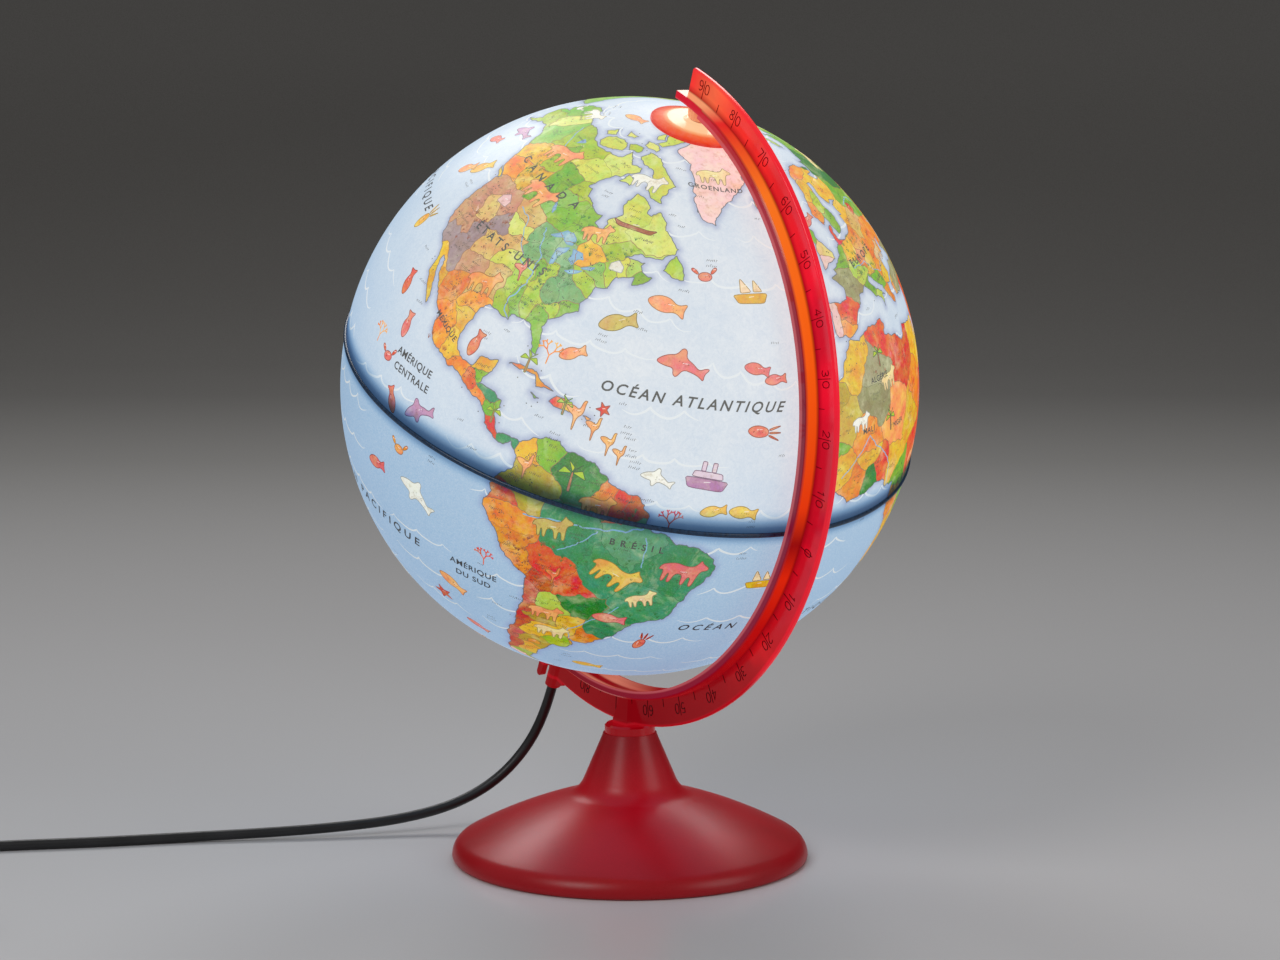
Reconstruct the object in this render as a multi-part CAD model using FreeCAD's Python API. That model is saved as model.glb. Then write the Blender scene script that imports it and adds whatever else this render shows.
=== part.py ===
import FreeCAD, Part
import math
import os

from FreeCAD import Placement, Rotation, Vector

# Desktop globe, 250 mm, lit from inside, on a tilted half-meridian arm and a round moulded base.
# Frame: origin at the centre of the base's underside, +Z up, +X under the north end of the globe's axis,
# so that the arm lies in the XZ plane. All sizes are in millimetres.

# ---- driving dimensions -------------------------------------------------------------------------
GLOBE_R = 125.0            # outer radius of the map sphere
GLOBE_WALL = 1.6           # moulded shell thickness
CENTRE_Z = 208.5           # height of the globe's centre above the table
TILT = 23.5                # tilt of the polar axis from vertical, degrees

RING_HALF = 1.1            # half height of the dark band that shows at the equator
RING_BULGE = 0.9           # how far that band stands out of the sphere
RING_SKIRT_UP = 12.0       # height of the overlap skirt inside the north hemisphere
RING_SKIRT_DOWN = 4.0      # the same inside the south hemisphere
RING_SKIRT_WALL = 1.6

NORTH_HOLE_R = 9.0         # polar hole in the north hemisphere
SOUTH_HOLE_R = 22.0        # polar hole in the south hemisphere, wide enough for the lamp to pass
CAP_R = 20.0               # rim of the domed cap over the north pole
PIN_R = 1.5                # north pivot pin
RUNNING = 0.05             # radial clearance of the two running fits

BASE_R = 78.4              # widest radius of the base
BASE_RIM_Z = 0.4           # the rim clears the table by this much
BASE_WALL = 2.2
CONE_TOP = (11.7, 56.0)    # radius and height of the top of the neck cone
COLLAR_R = 11.1            # clear collar between the base and the arm
COLLAR_TOP_Z = 60.0
STEM_R = 5.0               # stem of the arm inside the neck
STEM_END_Z = 17.0

ARM_HALF_WIDTH = 7.7       # half width of the arm's channel
ARM_WEB_HALF = 1.4         # half thickness of the outer web that carries the scale
ARM_WALL = 1.8
ARM_NORTH_DEG = 70.5       # the arm's ends, as angles in the XZ plane above +X
ARM_SOUTH_DEG = -117.0
PAD_DEG = 63.0             # above this angle the channel has no side walls
# The arm's arcs are struck from points a little off the globe's centre: (radius, shift in X, shift in Z).
WEB_ARC = (147.6, -1.2, -0.8)
CHANNEL_ARC = (136.5, -0.9, 0.5)
FLOOR_ARC = (134.4, -1.2, 0.3)
LIP_ARC = (132.6, -1.8, 0.2)
OUTLET_R = 3.6             # cable outlet tube at the arm's south end
OUTLET_BORE = 2.5
OUTLET_END = 154.0         # its mouth, as a distance from the globe's centre along the axis

CORD_R = 2.3               # flexible mains lead, 4.6 mm across
COIL_MEAN_R = 25.8         # middle of the coil's turns
COIL_TURNS_WIDE = 4        # turns side by side in each of the coil's two layers
COIL_PITCH = 4.7
COIL_CENTRE = (-54.6, -320.2)
COIL_CLEAR = 0.3

SWITCH_LENGTH = 62.0
SWITCH_WIDTH = 24.0
SWITCH_SPLIT = 6.0         # height of the joint between the switch's two halves
SWITCH_HEIGHT = 14.0
SWITCH_START = (-163.4, -294.4)
SWITCH_END = (-109.7, -325.7)
ROCKER_LEAN = 8.0          # the rocker leans this far each way from level, degrees

PLUG_PIN_R = 2.0
PLUG_PIN_LENGTH = 19.0
PLUG_PIN_SPREAD = 19.0     # distance between the two pins' axes
PLUG_LENGTH = 36.0
PLUG_WIDTH = 35.3
PLUG_THICK = 13.7
PLUG_REAR = (16.0, -350.5)
PLUG_HEADING = -16.0       # direction of the pins in the XY plane, degrees

# The lead's route, as hand-chosen points: out along the axis, down in a wide curve, then along the table.
LEAD_ROUTE = [
    (-61.4, 0.0, 67.3), (-67.0, 0.0, 54.5), (-73.6, -6.0, 36.5), (-79.4, -19.0, 21.5),
    (-85.4, -38.0, 11.6), (-93.4, -62.0, 6.6), (-104.9, -90.5, 4.4), (-119.4, -119.5, 3.1),
    (-134.7, -150.4, 2.4), (-149.0, -186.5, 2.4), (-165.3, -220.0, 2.4), (-177.4, -249.1, 2.4),
    (-178.6, -273.9, 3.4), (-163.4, -294.4, 6.0),
]
LINK_ROUTE = [
    (-109.7, -325.7, 6.0), (-93.9, -334.6, 4.2), (-82.8, -341.1, 2.6), (-72.6, -347.6, 2.4),
]
TAIL_ROUTE = [
    (-53.0, -353.2, 7.1), (-38.6, -354.8, 6.2), (-24.4, -354.3, 4.2), (-10.4, -351.6, 3.4),
    (3.0, -349.2, 5.2), (16.0, -350.5, 6.85),
]

ORIGIN = Vector(0, 0, 0)
X_AXIS = Vector(1, 0, 0)
Y_AXIS = Vector(0, 1, 0)
Z_AXIS = Vector(0, 0, 1)
GLOBE_CENTRE = Vector(0, 0, CENTRE_Z)
# Polar frame: +Z along the axis to the north pole, origin at the globe's centre.
POLAR = Placement(GLOBE_CENTRE, Rotation(Y_AXIS, TILT))


# ---- helpers ------------------------------------------------------------------------------------
def wire_of(items):
    """Closed wire through (x, z) points in the XZ plane; an item ("arc", mid, end) is an arc to end."""
    place = lambda p: Vector(p[0], 0, p[1])
    edges = []
    here = items[0]
    for item in items[1:] + [items[0]]:
        if item[0] == "arc":
            edges.append(Part.Arc(place(here), place(item[1]), place(item[2])).toShape())
            here = item[2]
        elif item != here:
            edges.append(Part.makeLine(place(here), place(item)))
            here = item
    return Part.Wire(edges)


def turned(items):
    """Solid of revolution about Z of a closed (radius, z) profile."""
    return Part.Face(wire_of(items)).revolve(ORIGIN, Z_AXIS, 360)


def cylinder(radius, z0, z1, x=0.0, y=0.0):
    return Part.makeCylinder(radius, z1 - z0, Vector(x, y, z0))


def tube(outer, inner, z0, z1):
    return cylinder(outer, z0, z1).cut(cylinder(inner, z0 - 1, z1 + 1))


def box(x0, x1, y0, y1, z0, z1):
    return Part.makeBox(x1 - x0, y1 - y0, z1 - z0, Vector(x0, y0, z0))


def moved(shape, placement):
    out = shape.copy()
    out.Placement = placement.multiply(out.Placement)
    return out


def tilted(shape):
    """A shape made in the polar frame, put in the model's frame."""
    return moved(shape, POLAR)


def rounded_plate(length, width, z0, z1, corner):
    """Upright plate centred on the origin, with rounded vertical corners."""
    plate = box(-length / 2, length / 2, -width / 2, width / 2, z0, z1)
    uprights = [e for e in plate.Edges if abs(e.BoundBox.ZLength - (z1 - z0)) < 1e-6]
    return plate.makeFillet(corner, uprights)


def lead_tube(points, label):
    """Round tube along straight runs joined by tangent arcs; prints its bend radii and volume ratio."""
    corners = [Vector(*p) for p in points]
    edges = []
    start = corners[0]
    radii = []
    for before, corner, after in zip(corners, corners[1:], corners[2:]):
        inward = (before - corner).normalize()
        outward = (after - corner).normalize()
        half_turn = (math.pi - inward.getAngle(outward)) / 2
        shorter = min((before - corner).Length, (after - corner).Length)
        radius = 0.45 * shorter / math.tan(half_turn)
        radii.append(radius)
        reach = 0.45 * shorter
        enter = corner + inward * reach
        leave = corner + outward * reach
        bisector = (inward + outward).normalize()
        middle = corner + bisector * (radius / math.cos(half_turn) - radius)
        edges.append(Part.LineSegment(start, enter).toShape())
        edges.append(Part.Arc(enter, middle, leave).toShape())
        start = leave
    edges.append(Part.LineSegment(start, corners[-1]).toShape())
    path = Part.Wire(edges)
    section = Part.Wire(Part.makeCircle(CORD_R, corners[0], corners[1] - corners[0]))
    solid = path.makePipeShell([section], True, False, 2)
    ratio = solid.Volume / (math.pi * CORD_R ** 2 * path.Length)
    print(label, "length", round(path.Length, 1), "radii", [round(r) for r in radii],
          "volume ratio", round(ratio, 4))
    return solid


def sector(solid, start_deg, end_deg, reach=200.0):
    """The part of a ring about Y, struck round the globe's centre, between two angles above +X."""
    steps = 12
    rim = []
    for i in range(steps + 1):
        angle = math.radians(start_deg + (end_deg - start_deg) * i / steps)
        rim.append((reach * math.cos(angle), CENTRE_Z + reach * math.sin(angle)))
    face = Part.Face(wire_of([(0.0, CENTRE_Z)] + rim))
    return solid.common(moved(face.extrude(Vector(0, 60, 0)), Placement(Vector(0, -30, 0), Rotation())))


def disc(arc, half_width):
    """Cylinder about Y whose radius and centre are one of the arm's arcs."""
    radius, shift_x, shift_z = arc
    base = Vector(shift_x, -half_width, CENTRE_Z + shift_z)
    return Part.makeCylinder(radius, 2 * half_width, base, Y_AXIS)


def screw(head_r, head_h, shank_r, length):
    """Pan-head screw standing on its head: head from z 0 to head_h, shank above, slot across the head."""
    body = cylinder(head_r, 0, head_h).fuse(cylinder(shank_r, head_h, head_h + length))
    return body.cut(box(-head_r, head_r, -0.4, 0.4, -1, head_h * 0.45)).removeSplitter()


# ---- base ---------------------------------------------------------------------------------------
def base_outline(inset):
    """Line of the base from its rim to the top of the neck, moved inwards by a wall thickness."""
    def point(radius, height, normal_deg):
        angle = math.radians(normal_deg)
        return (radius - inset * math.cos(angle), height - inset * math.sin(angle))
    neck_r = CONE_TOP[0] - inset / math.cos(math.radians(23.2))
    return [
        point(BASE_R, 1.8, 0),
        ("arc", point(77.21, 6.16, 30.65), point(73.96, 9.30, 61.3)),
        ("arc", point(49.29, 20.92, 68.2), point(24.74, 29.13, 75.0)),
        ("arc", point(23.27, 29.91, 49.1), point(22.29, 31.25, 23.2)),
        (neck_r, CONE_TOP[1]),
    ]


def make_base_shell():
    outer = turned([(0, BASE_RIM_Z), (BASE_R - 0.9, BASE_RIM_Z)] + base_outline(0) + [(0, CONE_TOP[1])])
    cavity = turned([(0, -1), (BASE_R - BASE_WALL, -1)] + base_outline(BASE_WALL) + [(0, CONE_TOP[1])])
    shell = outer.cut(cavity)
    guide_r = 7.6
    guide = tube(guide_r, STEM_R + 0.2, 13.9, 49.0)
    ribs = []
    for quarter in range(4):
        rib = box(STEM_R + 1.2, 30.0, -0.9, 0.9, 14.6, 48.0)
        rib.rotate(ORIGIN, Z_AXIS, 45 + 90 * quarter)
        ribs.append(rib)
    inside = guide.multiFuse(ribs).cut(cylinder(STEM_R + 0.2, 10, 60)).common(cavity)
    return shell.fuse(inside).removeSplitter()


def make_base_weight():
    """Steel ballast plate with a countersunk middle for the stem screw."""
    plate = turned([(3.0, 6.2), (54.0, 6.2), (55.0, 7.2), (55.0, 12.8), (54.0, 13.8), (3.0, 13.8)])
    return plate


def make_base_cover():
    """Closing plate that snaps into the rim of the base."""
    plate = turned([(12.0, 1.5), (73.0, 1.5), (75.4, 2.4), (75.4, 3.6), (12.0, 3.6)])
    posts = [cylinder(3.0, 3.6, 6.1, 40 * math.cos(a), 40 * math.sin(a))
             for a in (math.radians(30 + 120 * i) for i in range(3))]
    return plate.multiFuse(posts)


def make_foot_pad():
    return turned([(0, 0), (71.0, 0), (72.0, 0.7), (72.0, 1.4), (0, 1.4)])


def make_stem_screw():
    """M5 pan-head screw that pulls the arm's stem down onto the neck."""
    head = cylinder(4.8, 1.9, 5.0)
    shank = cylinder(2.45, 5.0, 34.0)
    cross = box(-3.0, 3.0, -0.5, 0.5, 1.0, 3.2).fuse(box(-0.5, 0.5, -3.0, 3.0, 1.0, 3.2))
    return head.fuse(shank).cut(cross).removeSplitter()


def make_stem_washer():
    return tube(9.5, 2.8, 5.1, 6.1)


def make_neck_collar():
    """Clear ring that seats in the neck and carries the arm's foot."""
    spigot_r = CONE_TOP[0] - BASE_WALL - 0.3
    return turned([
        (STEM_R + 0.2, 51.0), (spigot_r - 0.5, 51.0), (spigot_r, 51.8), (spigot_r, CONE_TOP[1]),
        (COLLAR_R, CONE_TOP[1]), (COLLAR_R, 59.2), (COLLAR_R - 0.8, COLLAR_TOP_Z),
        (STEM_R + 0.2, COLLAR_TOP_Z),
    ])


# ---- arm ----------------------------------------------------------------------------------------
def make_meridian_arm():
    """Channel, outer web, foot with its stem, north column and south cable outlet, moulded in one."""
    web_radius, web_x, web_z = WEB_ARC
    web = disc(WEB_ARC, ARM_WEB_HALF)
    rims = [e for e in web.Edges if abs(e.Length - 2 * math.pi * web_radius) < 1]
    web = web.makeFillet(1.0, rims)
    web = sector(web.cut(disc(FLOOR_ARC, 20)), -112.6, ARM_NORTH_DEG)
    channel = disc(CHANNEL_ARC, ARM_HALF_WIDTH)
    rims = [e for e in channel.Edges if abs(e.Length - 2 * math.pi * CHANNEL_ARC[0]) < 1]
    channel = channel.makeChamfer(0.8, rims)
    channel = channel.cut(disc(LIP_ARC, 20)).cut(disc(FLOOR_ARC, ARM_HALF_WIDTH - ARM_WALL))
    walls = sector(channel, ARM_SOUTH_DEG, PAD_DEG)
    pad = sector(disc(CHANNEL_ARC, ARM_HALF_WIDTH).cut(disc((133.4, 0, 0), 20)), PAD_DEG - 0.5, ARM_NORTH_DEG)
    arm = web.multiFuse([walls, pad])

    # North: the column under the pad that holds the pivot pin.
    column = tilted(cylinder(3.7, 127.7, 134.6))
    pin_hole = tilted(cylinder(PIN_R, 120.0, 133.2))

    # South: the seat for the lamp, the cable outlet, its gusset and the end tab.
    boss = tilted(cylinder(9.0, -138.0, -129.2))
    outlet = tilted(cylinder(OUTLET_R, -OUTLET_END, -135.0))
    gusset = Part.Face(wire_of([(0, -134), (0, -153.5), (2.4, -153.4), (8.3, -149.6), (8.3, -134)]))
    gusset = tilted(gusset.extrude(Vector(0, 2 * ARM_WEB_HALF, 0)).translated(Vector(0, -ARM_WEB_HALF, 0)))
    bridge = tilted(box(-10.0, 0.0, -1.0, 1.0, -147.0, -134.0))
    tab = box(-12.0, -8.6, -1.4, 1.4, -153.6, -133.0)
    tab = tilted(tab.fuse(Part.makeCylinder(1.7, 2.8, Vector(-10.3, -1.4, -153.6), Y_AXIS)))
    cable_bore = tilted(cylinder(OUTLET_BORE, -OUTLET_END - 2, -130.0))
    nipple_bore = tilted(cylinder(5.0, -136.0, -120.0))

    # Foot: a tapered square post on a plate, over a round stem that goes down the neck.
    plate = box(-5.4, 5.4, -5.4, 5.4, COLLAR_TOP_Z, COLLAR_TOP_Z + 2.2)
    square = lambda half, z: Part.makePolygon([
        Vector(half, half, z), Vector(-half, half, z), Vector(-half, -half, z), Vector(half, -half, z),
        Vector(half, half, z)])
    post = Part.makeLoft([square(5.2, COLLAR_TOP_Z + 2.2), square(2.8, 74.0)], True, True)
    stem = cylinder(STEM_R, STEM_END_Z, COLLAR_TOP_Z)
    screw_hole = cylinder(2.5, STEM_END_Z - 1, 38.0)
    arm = arm.multiFuse([column, boss, outlet, gusset, bridge, tab, plate, post, stem])
    arm = arm.cut(screw_hole).cut(pin_hole).cut(cable_bore).cut(nipple_bore)
    return arm.removeSplitter()


def make_north_pivot_pin():
    return tilted(cylinder(PIN_R, 118.0, 133.2))


# ---- globe --------------------------------------------------------------------------------------
def hemisphere(hole_r, z_edge):
    """Thin dome with a polar hole; its open edge is at z_edge, and it points to +Z."""
    inner_r = GLOBE_R - GLOBE_WALL
    on_sphere = lambda radius, r: (r, math.sqrt(radius ** 2 - r ** 2))
    at_edge = lambda radius: (math.sqrt(radius ** 2 - z_edge ** 2), z_edge)
    middle = lambda radius: (radius * math.cos(math.radians(45)), radius * math.sin(math.radians(45)))
    return turned([
        at_edge(inner_r), at_edge(GLOBE_R),
        ("arc", middle(GLOBE_R), on_sphere(GLOBE_R, hole_r)),
        on_sphere(inner_r, hole_r),
        ("arc", middle(inner_r), at_edge(inner_r)),
    ])


def make_north_hemisphere():
    return tilted(hemisphere(NORTH_HOLE_R, RING_HALF))


def make_south_hemisphere():
    dome = hemisphere(SOUTH_HOLE_R, RING_HALF)
    dome.rotate(ORIGIN, X_AXIS, 180)
    return tilted(dome)


def make_equator_ring():
    """Dark joint ring: a rounded band outside, and a skirt inside that both hemispheres slide over."""
    inner_r = GLOBE_R - GLOBE_WALL
    skirt_r = lambda z: math.sqrt(inner_r ** 2 - z ** 2) - 0.05
    outer_r = GLOBE_R + RING_BULGE
    up, down = RING_SKIRT_UP, -RING_SKIRT_DOWN
    return tilted(turned([
        (skirt_r(RING_HALF), RING_HALF), (GLOBE_R, RING_HALF),
        ("arc", (outer_r, 0), (GLOBE_R, -RING_HALF)),
        (skirt_r(RING_HALF), -RING_HALF), (skirt_r(down), down),
        (skirt_r(down) - RING_SKIRT_WALL, down), (skirt_r(up) - RING_SKIRT_WALL, up), (skirt_r(up), up),
    ]))


def make_north_cap():
    """Domed cap: a sloped rim on the sphere, a flat middle with a low boss, and a hub through the hole."""
    seat_r = GLOBE_R + 0.05
    on_seat = lambda r: (r, math.sqrt(seat_r ** 2 - r ** 2))
    return tilted(turned([
        (4.0, 117.0), (NORTH_HOLE_R - 0.1, 117.0), (NORTH_HOLE_R - 0.1, on_seat(NORTH_HOLE_R - 0.1)[1]),
        ("arc", on_seat(14.5), on_seat(CAP_R)),
        (CAP_R, 124.3), (13.2, 126.2), (5.2, 126.5), (4.9, 127.2), (4.0, 127.2),
    ]))


def make_north_bush():
    return tilted(tube(3.95, PIN_R + RUNNING + 0.01, 117.0, 127.0))


def make_south_bush():
    """Flanged ring in the south hole of the globe; it turns on the hub of the lamp seat."""
    bore = 19.5
    outside = lambda r: -math.sqrt((GLOBE_R + 0.05) ** 2 - r ** 2)
    return tilted(turned([
        (bore, -126.2), (25.0, -126.2), (25.0, outside(25.0)),
        ("arc", (23.5, outside(23.5)), (SOUTH_HOLE_R - 0.1, outside(SOUTH_HOLE_R - 0.1))),
        (SOUTH_HOLE_R - 0.1, -119.6), (bore, -119.6),
    ]))


# ---- lamp ---------------------------------------------------------------------------------------
def make_lamp_seat():
    """Fixed disc on the arm's south end; the globe rests and turns on it."""
    return tilted(turned([
        (5.05, -129.2), (22.0, -129.2), (24.0, -128.0), (24.0, -126.5), (19.5 - RUNNING - 0.01, -126.5),
        (19.5 - RUNNING - 0.01, -120.0), (18.6, -119.2), (5.05, -119.2),
    ]))


def make_nipple():
    """Threaded tube that clamps the lamp seat and the lampholder to the arm."""
    return tilted(tube(4.98, 3.4, -135.9, -110.0))


def make_nipple_nut():
    nut = Part.Face(Part.makePolygon([
        Vector(8.0 * math.cos(math.radians(60 * i)), 8.0 * math.sin(math.radians(60 * i)), -119.2)
        for i in range(7)])).extrude(Vector(0, 0, 3.0))
    return tilted(nut.cut(cylinder(5.03, -125, -110)))


def make_lampholder_cap():
    """Lower part of the lampholder, screwed on the nipple."""
    return tilted(turned([
        (5.05, -116.0), (9.0, -116.0), (13.4, -112.0), (13.4, -102.0), (11.4, -102.0), (11.4, -111.0),
        (8.6, -113.6), (5.05, -113.6),
    ]))


def make_lampholder_body():
    """Upper part: a cup for the lamp's screw cap, with a floor that carries the contacts."""
    return tilted(turned([
        (2.6, -101.9), (13.4, -101.9), (13.4, -84.0), (14.6, -83.0), (14.6, -80.0), (13.4, -76.5),
        (8.6, -76.5), (8.6, -98.4), (2.6, -98.4),
    ]))


def make_lampholder_shell():
    return tilted(tube(8.4, 7.2, -97.6, -79.0))


def make_lampholder_contacts():
    """Centre tongue and the two terminals under the floor."""
    button = cylinder(2.4, -100.5, -97.0)
    terminals = [box(x - 1.8, x + 1.8, -2.5, 2.5, -109.0, -102.2) for x in (-6.5, 6.5)]
    return Part.makeCompound([tilted(button)] + [tilted(t) for t in terminals])


def make_bulb_cap():
    """E14 screw cap, shown with rings for its thread."""
    profile = [(0, -95.6), (4.6, -95.6), (6.4, -93.4)]
    for ring in range(5):
        z = -93.0 + 2.8 * ring
        profile += [(6.4, z), (6.95, z + 0.7), (6.95, z + 1.4), (6.4, z + 2.1)]
    profile += [(6.6, -78.6), (8.2, -75.6), (8.2, -73.4), (0, -73.4)]
    return tilted(turned(profile))


def make_bulb_contact():
    return tilted(turned([(0, -96.9), (1.6, -96.9), (2.4, -96.3), (2.4, -95.7), (0, -95.7)]))


def make_bulb_glass():
    """Candle-shaped glass envelope, open at the cap."""
    return tilted(turned([
        (8.6, -73.3), ("arc", (13.9, -62.0), (17.2, -45.0)), ("arc", (14.4, -22.0), (4.0, -3.4)),
        (1.2, -1.9), (0, -1.9), (0, -2.9), (0.9, -2.9), (3.2, -4.2),
        ("arc", (13.5, -22.3), (16.3, -45.0)), ("arc", (13.0, -62.0), (7.7, -73.3)),
    ]))


def make_bulb_filament():
    """Glass foot, two lead wires and the filament bar between them."""
    foot = turned([(0, -73.2), (5.0, -73.2), (3.0, -66.0), (2.0, -52.0), (0, -52.0)])
    wires = [cylinder(0.45, -60.0, -34.0, x) for x in (-1.5, 1.5)]
    arms = [Part.makeCylinder(0.45, 7.5, Vector(1.5 * side, 0, -34.0), Vector(side, 0, 0.35))
            for side in (-1, 1)]
    bar = Part.makeCylinder(0.7, 17.2, Vector(-8.6, 0, -31.4), X_AXIS)
    return tilted(foot.multiFuse(wires + arms + [bar]))


def make_inner_cable():
    """The lead inside the arm's outlet and the nipple, up to the lampholder."""
    return tilted(cylinder(CORD_R, -OUTLET_END, -109.6))


def make_lamp_leads():
    """The two insulated cores from the end of the sheath to the terminals."""
    cores = []
    for side in (-1, 1):
        start, end = Vector(1.1 * side, 0, -108.9), Vector(4.5 * side, 0, -105.6)
        cores.append(tilted(Part.makeCylinder(0.7, (end - start).Length, start, end - start)))
    return Part.makeCompound(cores)


def make_cord_grip():
    """Split ring that grips the sheath above the nipple."""
    return tilted(tube(3.3, CORD_R, -118.0, -112.0))


# ---- lead, switch and plug ----------------------------------------------------------------------
def make_cord_coil():
    """Outer shape of the put-away turns: a low ring of rounded section."""
    half_width = (COIL_TURNS_WIDE - 1) / 2 * COIL_PITCH + CORD_R + COIL_CLEAR
    inner, outer = COIL_MEAN_R - half_width, COIL_MEAN_R + half_width
    top = 2 * CORD_R + COIL_PITCH + 0.2
    ring = turned([
        (inner + 1.5, 0), (outer - 1.5, 0), (outer, 1.5), (outer, top - 1.5), (outer - 1.5, top),
        (inner + 1.5, top), (inner, top - 1.5), (inner, 1.5),
    ])
    return ring.translated(Vector(*COIL_CENTRE, 0))


def switch_placement():
    start, end = Vector(*SWITCH_START, 0), Vector(*SWITCH_END, 0)
    heading = math.degrees(math.atan2(end.y - start.y, end.x - start.x))
    return Placement((start + end) * 0.5, Rotation(Z_AXIS, heading))


SWITCH = switch_placement()
CABLE_HOLE = Part.makeCylinder(CORD_R + 0.05, 80, Vector(-40, 0, SWITCH_SPLIT), X_AXIS)
SCREW_SPOTS = [(-19.0, 8.4), (19.0, -8.4)]
PIVOT_Z = 10.2


def make_switch_base():
    body = rounded_plate(SWITCH_LENGTH, SWITCH_WIDTH, 0, SWITCH_SPLIT, 7)
    cavity = rounded_plate(SWITCH_LENGTH - 4, SWITCH_WIDTH - 4, 1.8, SWITCH_SPLIT + 1, 5)
    body = body.makeChamfer(0.8, [e for e in body.Edges if e.BoundBox.ZMax < 1e-6]).cut(cavity)
    posts = [cylinder(3.2, 1.0, SWITCH_SPLIT, x, y) for x, y in SCREW_SPOTS]
    body = body.multiFuse(posts).cut(CABLE_HOLE)
    for x, y in SCREW_SPOTS:
        body = body.cut(cylinder(1.3, -1, 9, x, y)).cut(cylinder(2.5, -1, 2.2, x, y))
    return moved(body, SWITCH)


def make_switch_cover():
    body = rounded_plate(SWITCH_LENGTH, SWITCH_WIDTH, SWITCH_SPLIT, SWITCH_HEIGHT, 7)
    body = body.makeFillet(1.6, [e for e in body.Edges if e.BoundBox.ZMin > SWITCH_HEIGHT - 1e-6])
    cavity = rounded_plate(SWITCH_LENGTH - 4, SWITCH_WIDTH - 4, SWITCH_SPLIT - 1, SWITCH_HEIGHT - 1.8, 5)
    lugs = [box(-3, 3, min(y, y * 1.35), max(y, y * 1.35), 8.0, SWITCH_HEIGHT - 1) for y in (-6.2, 6.2)]
    posts = [cylinder(3.0, SWITCH_SPLIT + 0.1, SWITCH_HEIGHT - 1, x, y) for x, y in SCREW_SPOTS]
    body = body.cut(cavity).multiFuse(lugs + posts)
    body = body.cut(box(-9.8, 9.8, -5.8, 5.8, SWITCH_HEIGHT - 3, SWITCH_HEIGHT + 1)).cut(CABLE_HOLE)
    for x, y in SCREW_SPOTS:
        body = body.cut(cylinder(1.05, 0, SWITCH_HEIGHT - 2, x, y))
    return moved(body.cut(Part.makeCylinder(1.0, 20, Vector(0, -10, PIVOT_Z), Y_AXIS)), SWITCH)


def make_switch_rocker():
    """Rocker with a shallow V top, leaning to its on side at rest."""
    profile = [
        (-2.6, PIVOT_Z - 1.6), ("arc", (0, PIVOT_Z - 3.0), (2.6, PIVOT_Z - 1.6)), (8.4, 12.8), (8.4, 16.6),
        (7.6, 17.2), ("arc", (0, 15.5), (-7.6, 17.2)), (-8.4, 16.6), (-8.4, 12.8),
    ]
    rocker = Part.Face(wire_of(profile)).extrude(Vector(0, 11.0, 0)).translated(Vector(0, -5.5, 0))
    rocker = rocker.cut(Part.makeCylinder(1.05, 20, Vector(0, -10, PIVOT_Z), Y_AXIS))
    rocker.rotate(Vector(0, 0, PIVOT_Z), Y_AXIS, ROCKER_LEAN)
    return moved(rocker, SWITCH)


def make_switch_pin():
    return moved(Part.makeCylinder(1.0, 16.4, Vector(0, -8.2, PIVOT_Z), Y_AXIS), SWITCH)


def make_switch_screws():
    one = screw(2.3, 1.4, 1.0, 8.0)
    return Part.makeCompound([moved(one.translated(Vector(x, y, 0.5)), SWITCH) for x, y in SCREW_SPOTS])


def make_switch_terminals():
    """Two brass clamps beside the sheath ends, and the sprung contact strip under the rocker."""
    clamps = [box(x - 3.0, x + 3.0, -7.8, -4.6, 2.0, 7.0) for x in (-8.0, 8.0)]
    strip = box(-7.0, 7.0, 4.4, 6.4, 2.0, 3.0)
    return Part.makeCompound([moved(s, SWITCH) for s in clamps + [strip]])


def make_plug_body():
    """Flat two-pin plug body on its side on the table, narrowing to a ribbed relief for the lead."""
    half, thick = PLUG_WIDTH / 2, PLUG_THICK
    outline = Part.Face(Part.makePolygon([
        Vector(12, -5.5, 0), Vector(22, -9.0, 0), Vector(30, -half + 1.5, 0), Vector(46, -half, 0),
        Vector(48, -half + 2.0, 0), Vector(48, half - 2.0, 0), Vector(46, half, 0),
        Vector(30, half - 1.5, 0), Vector(22, 9.0, 0), Vector(12, 5.5, 0), Vector(12, -5.5, 0)]))
    body = outline.extrude(Vector(0, 0, thick))
    body = body.makeChamfer(2.0, [e for e in body.Edges if e.BoundBox.ZLength < 1e-6 and e.BoundBox.XMin < 47])
    mid = thick / 2
    relief = Part.makeCone(CORD_R + 0.9, 4.6, 13.0, Vector(0, 0, mid), X_AXIS)
    return relief, body


PLUG = Placement(Vector(*PLUG_REAR, 0), Rotation(Z_AXIS, PLUG_HEADING))


def make_plug():
    relief, body = make_plug_body()
    mid = PLUG_THICK / 2
    spots = [side * PLUG_PIN_SPREAD / 2 for side in (-1, 1)]
    pins = [Part.makeCylinder(PLUG_PIN_R, PLUG_PIN_LENGTH + 10, Vector(38, y, mid), X_AXIS) for y in spots]
    pins = [p.makeFillet(0.9, [e for e in p.Edges if e.BoundBox.XMin > 38 + PLUG_PIN_LENGTH + 9]) for p in pins]
    body = body.fuse(relief).removeSplitter()
    for pin in pins:
        body = body.cut(pin)
    return moved(body, PLUG), Part.makeCompound([moved(p, PLUG) for p in pins])


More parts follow.
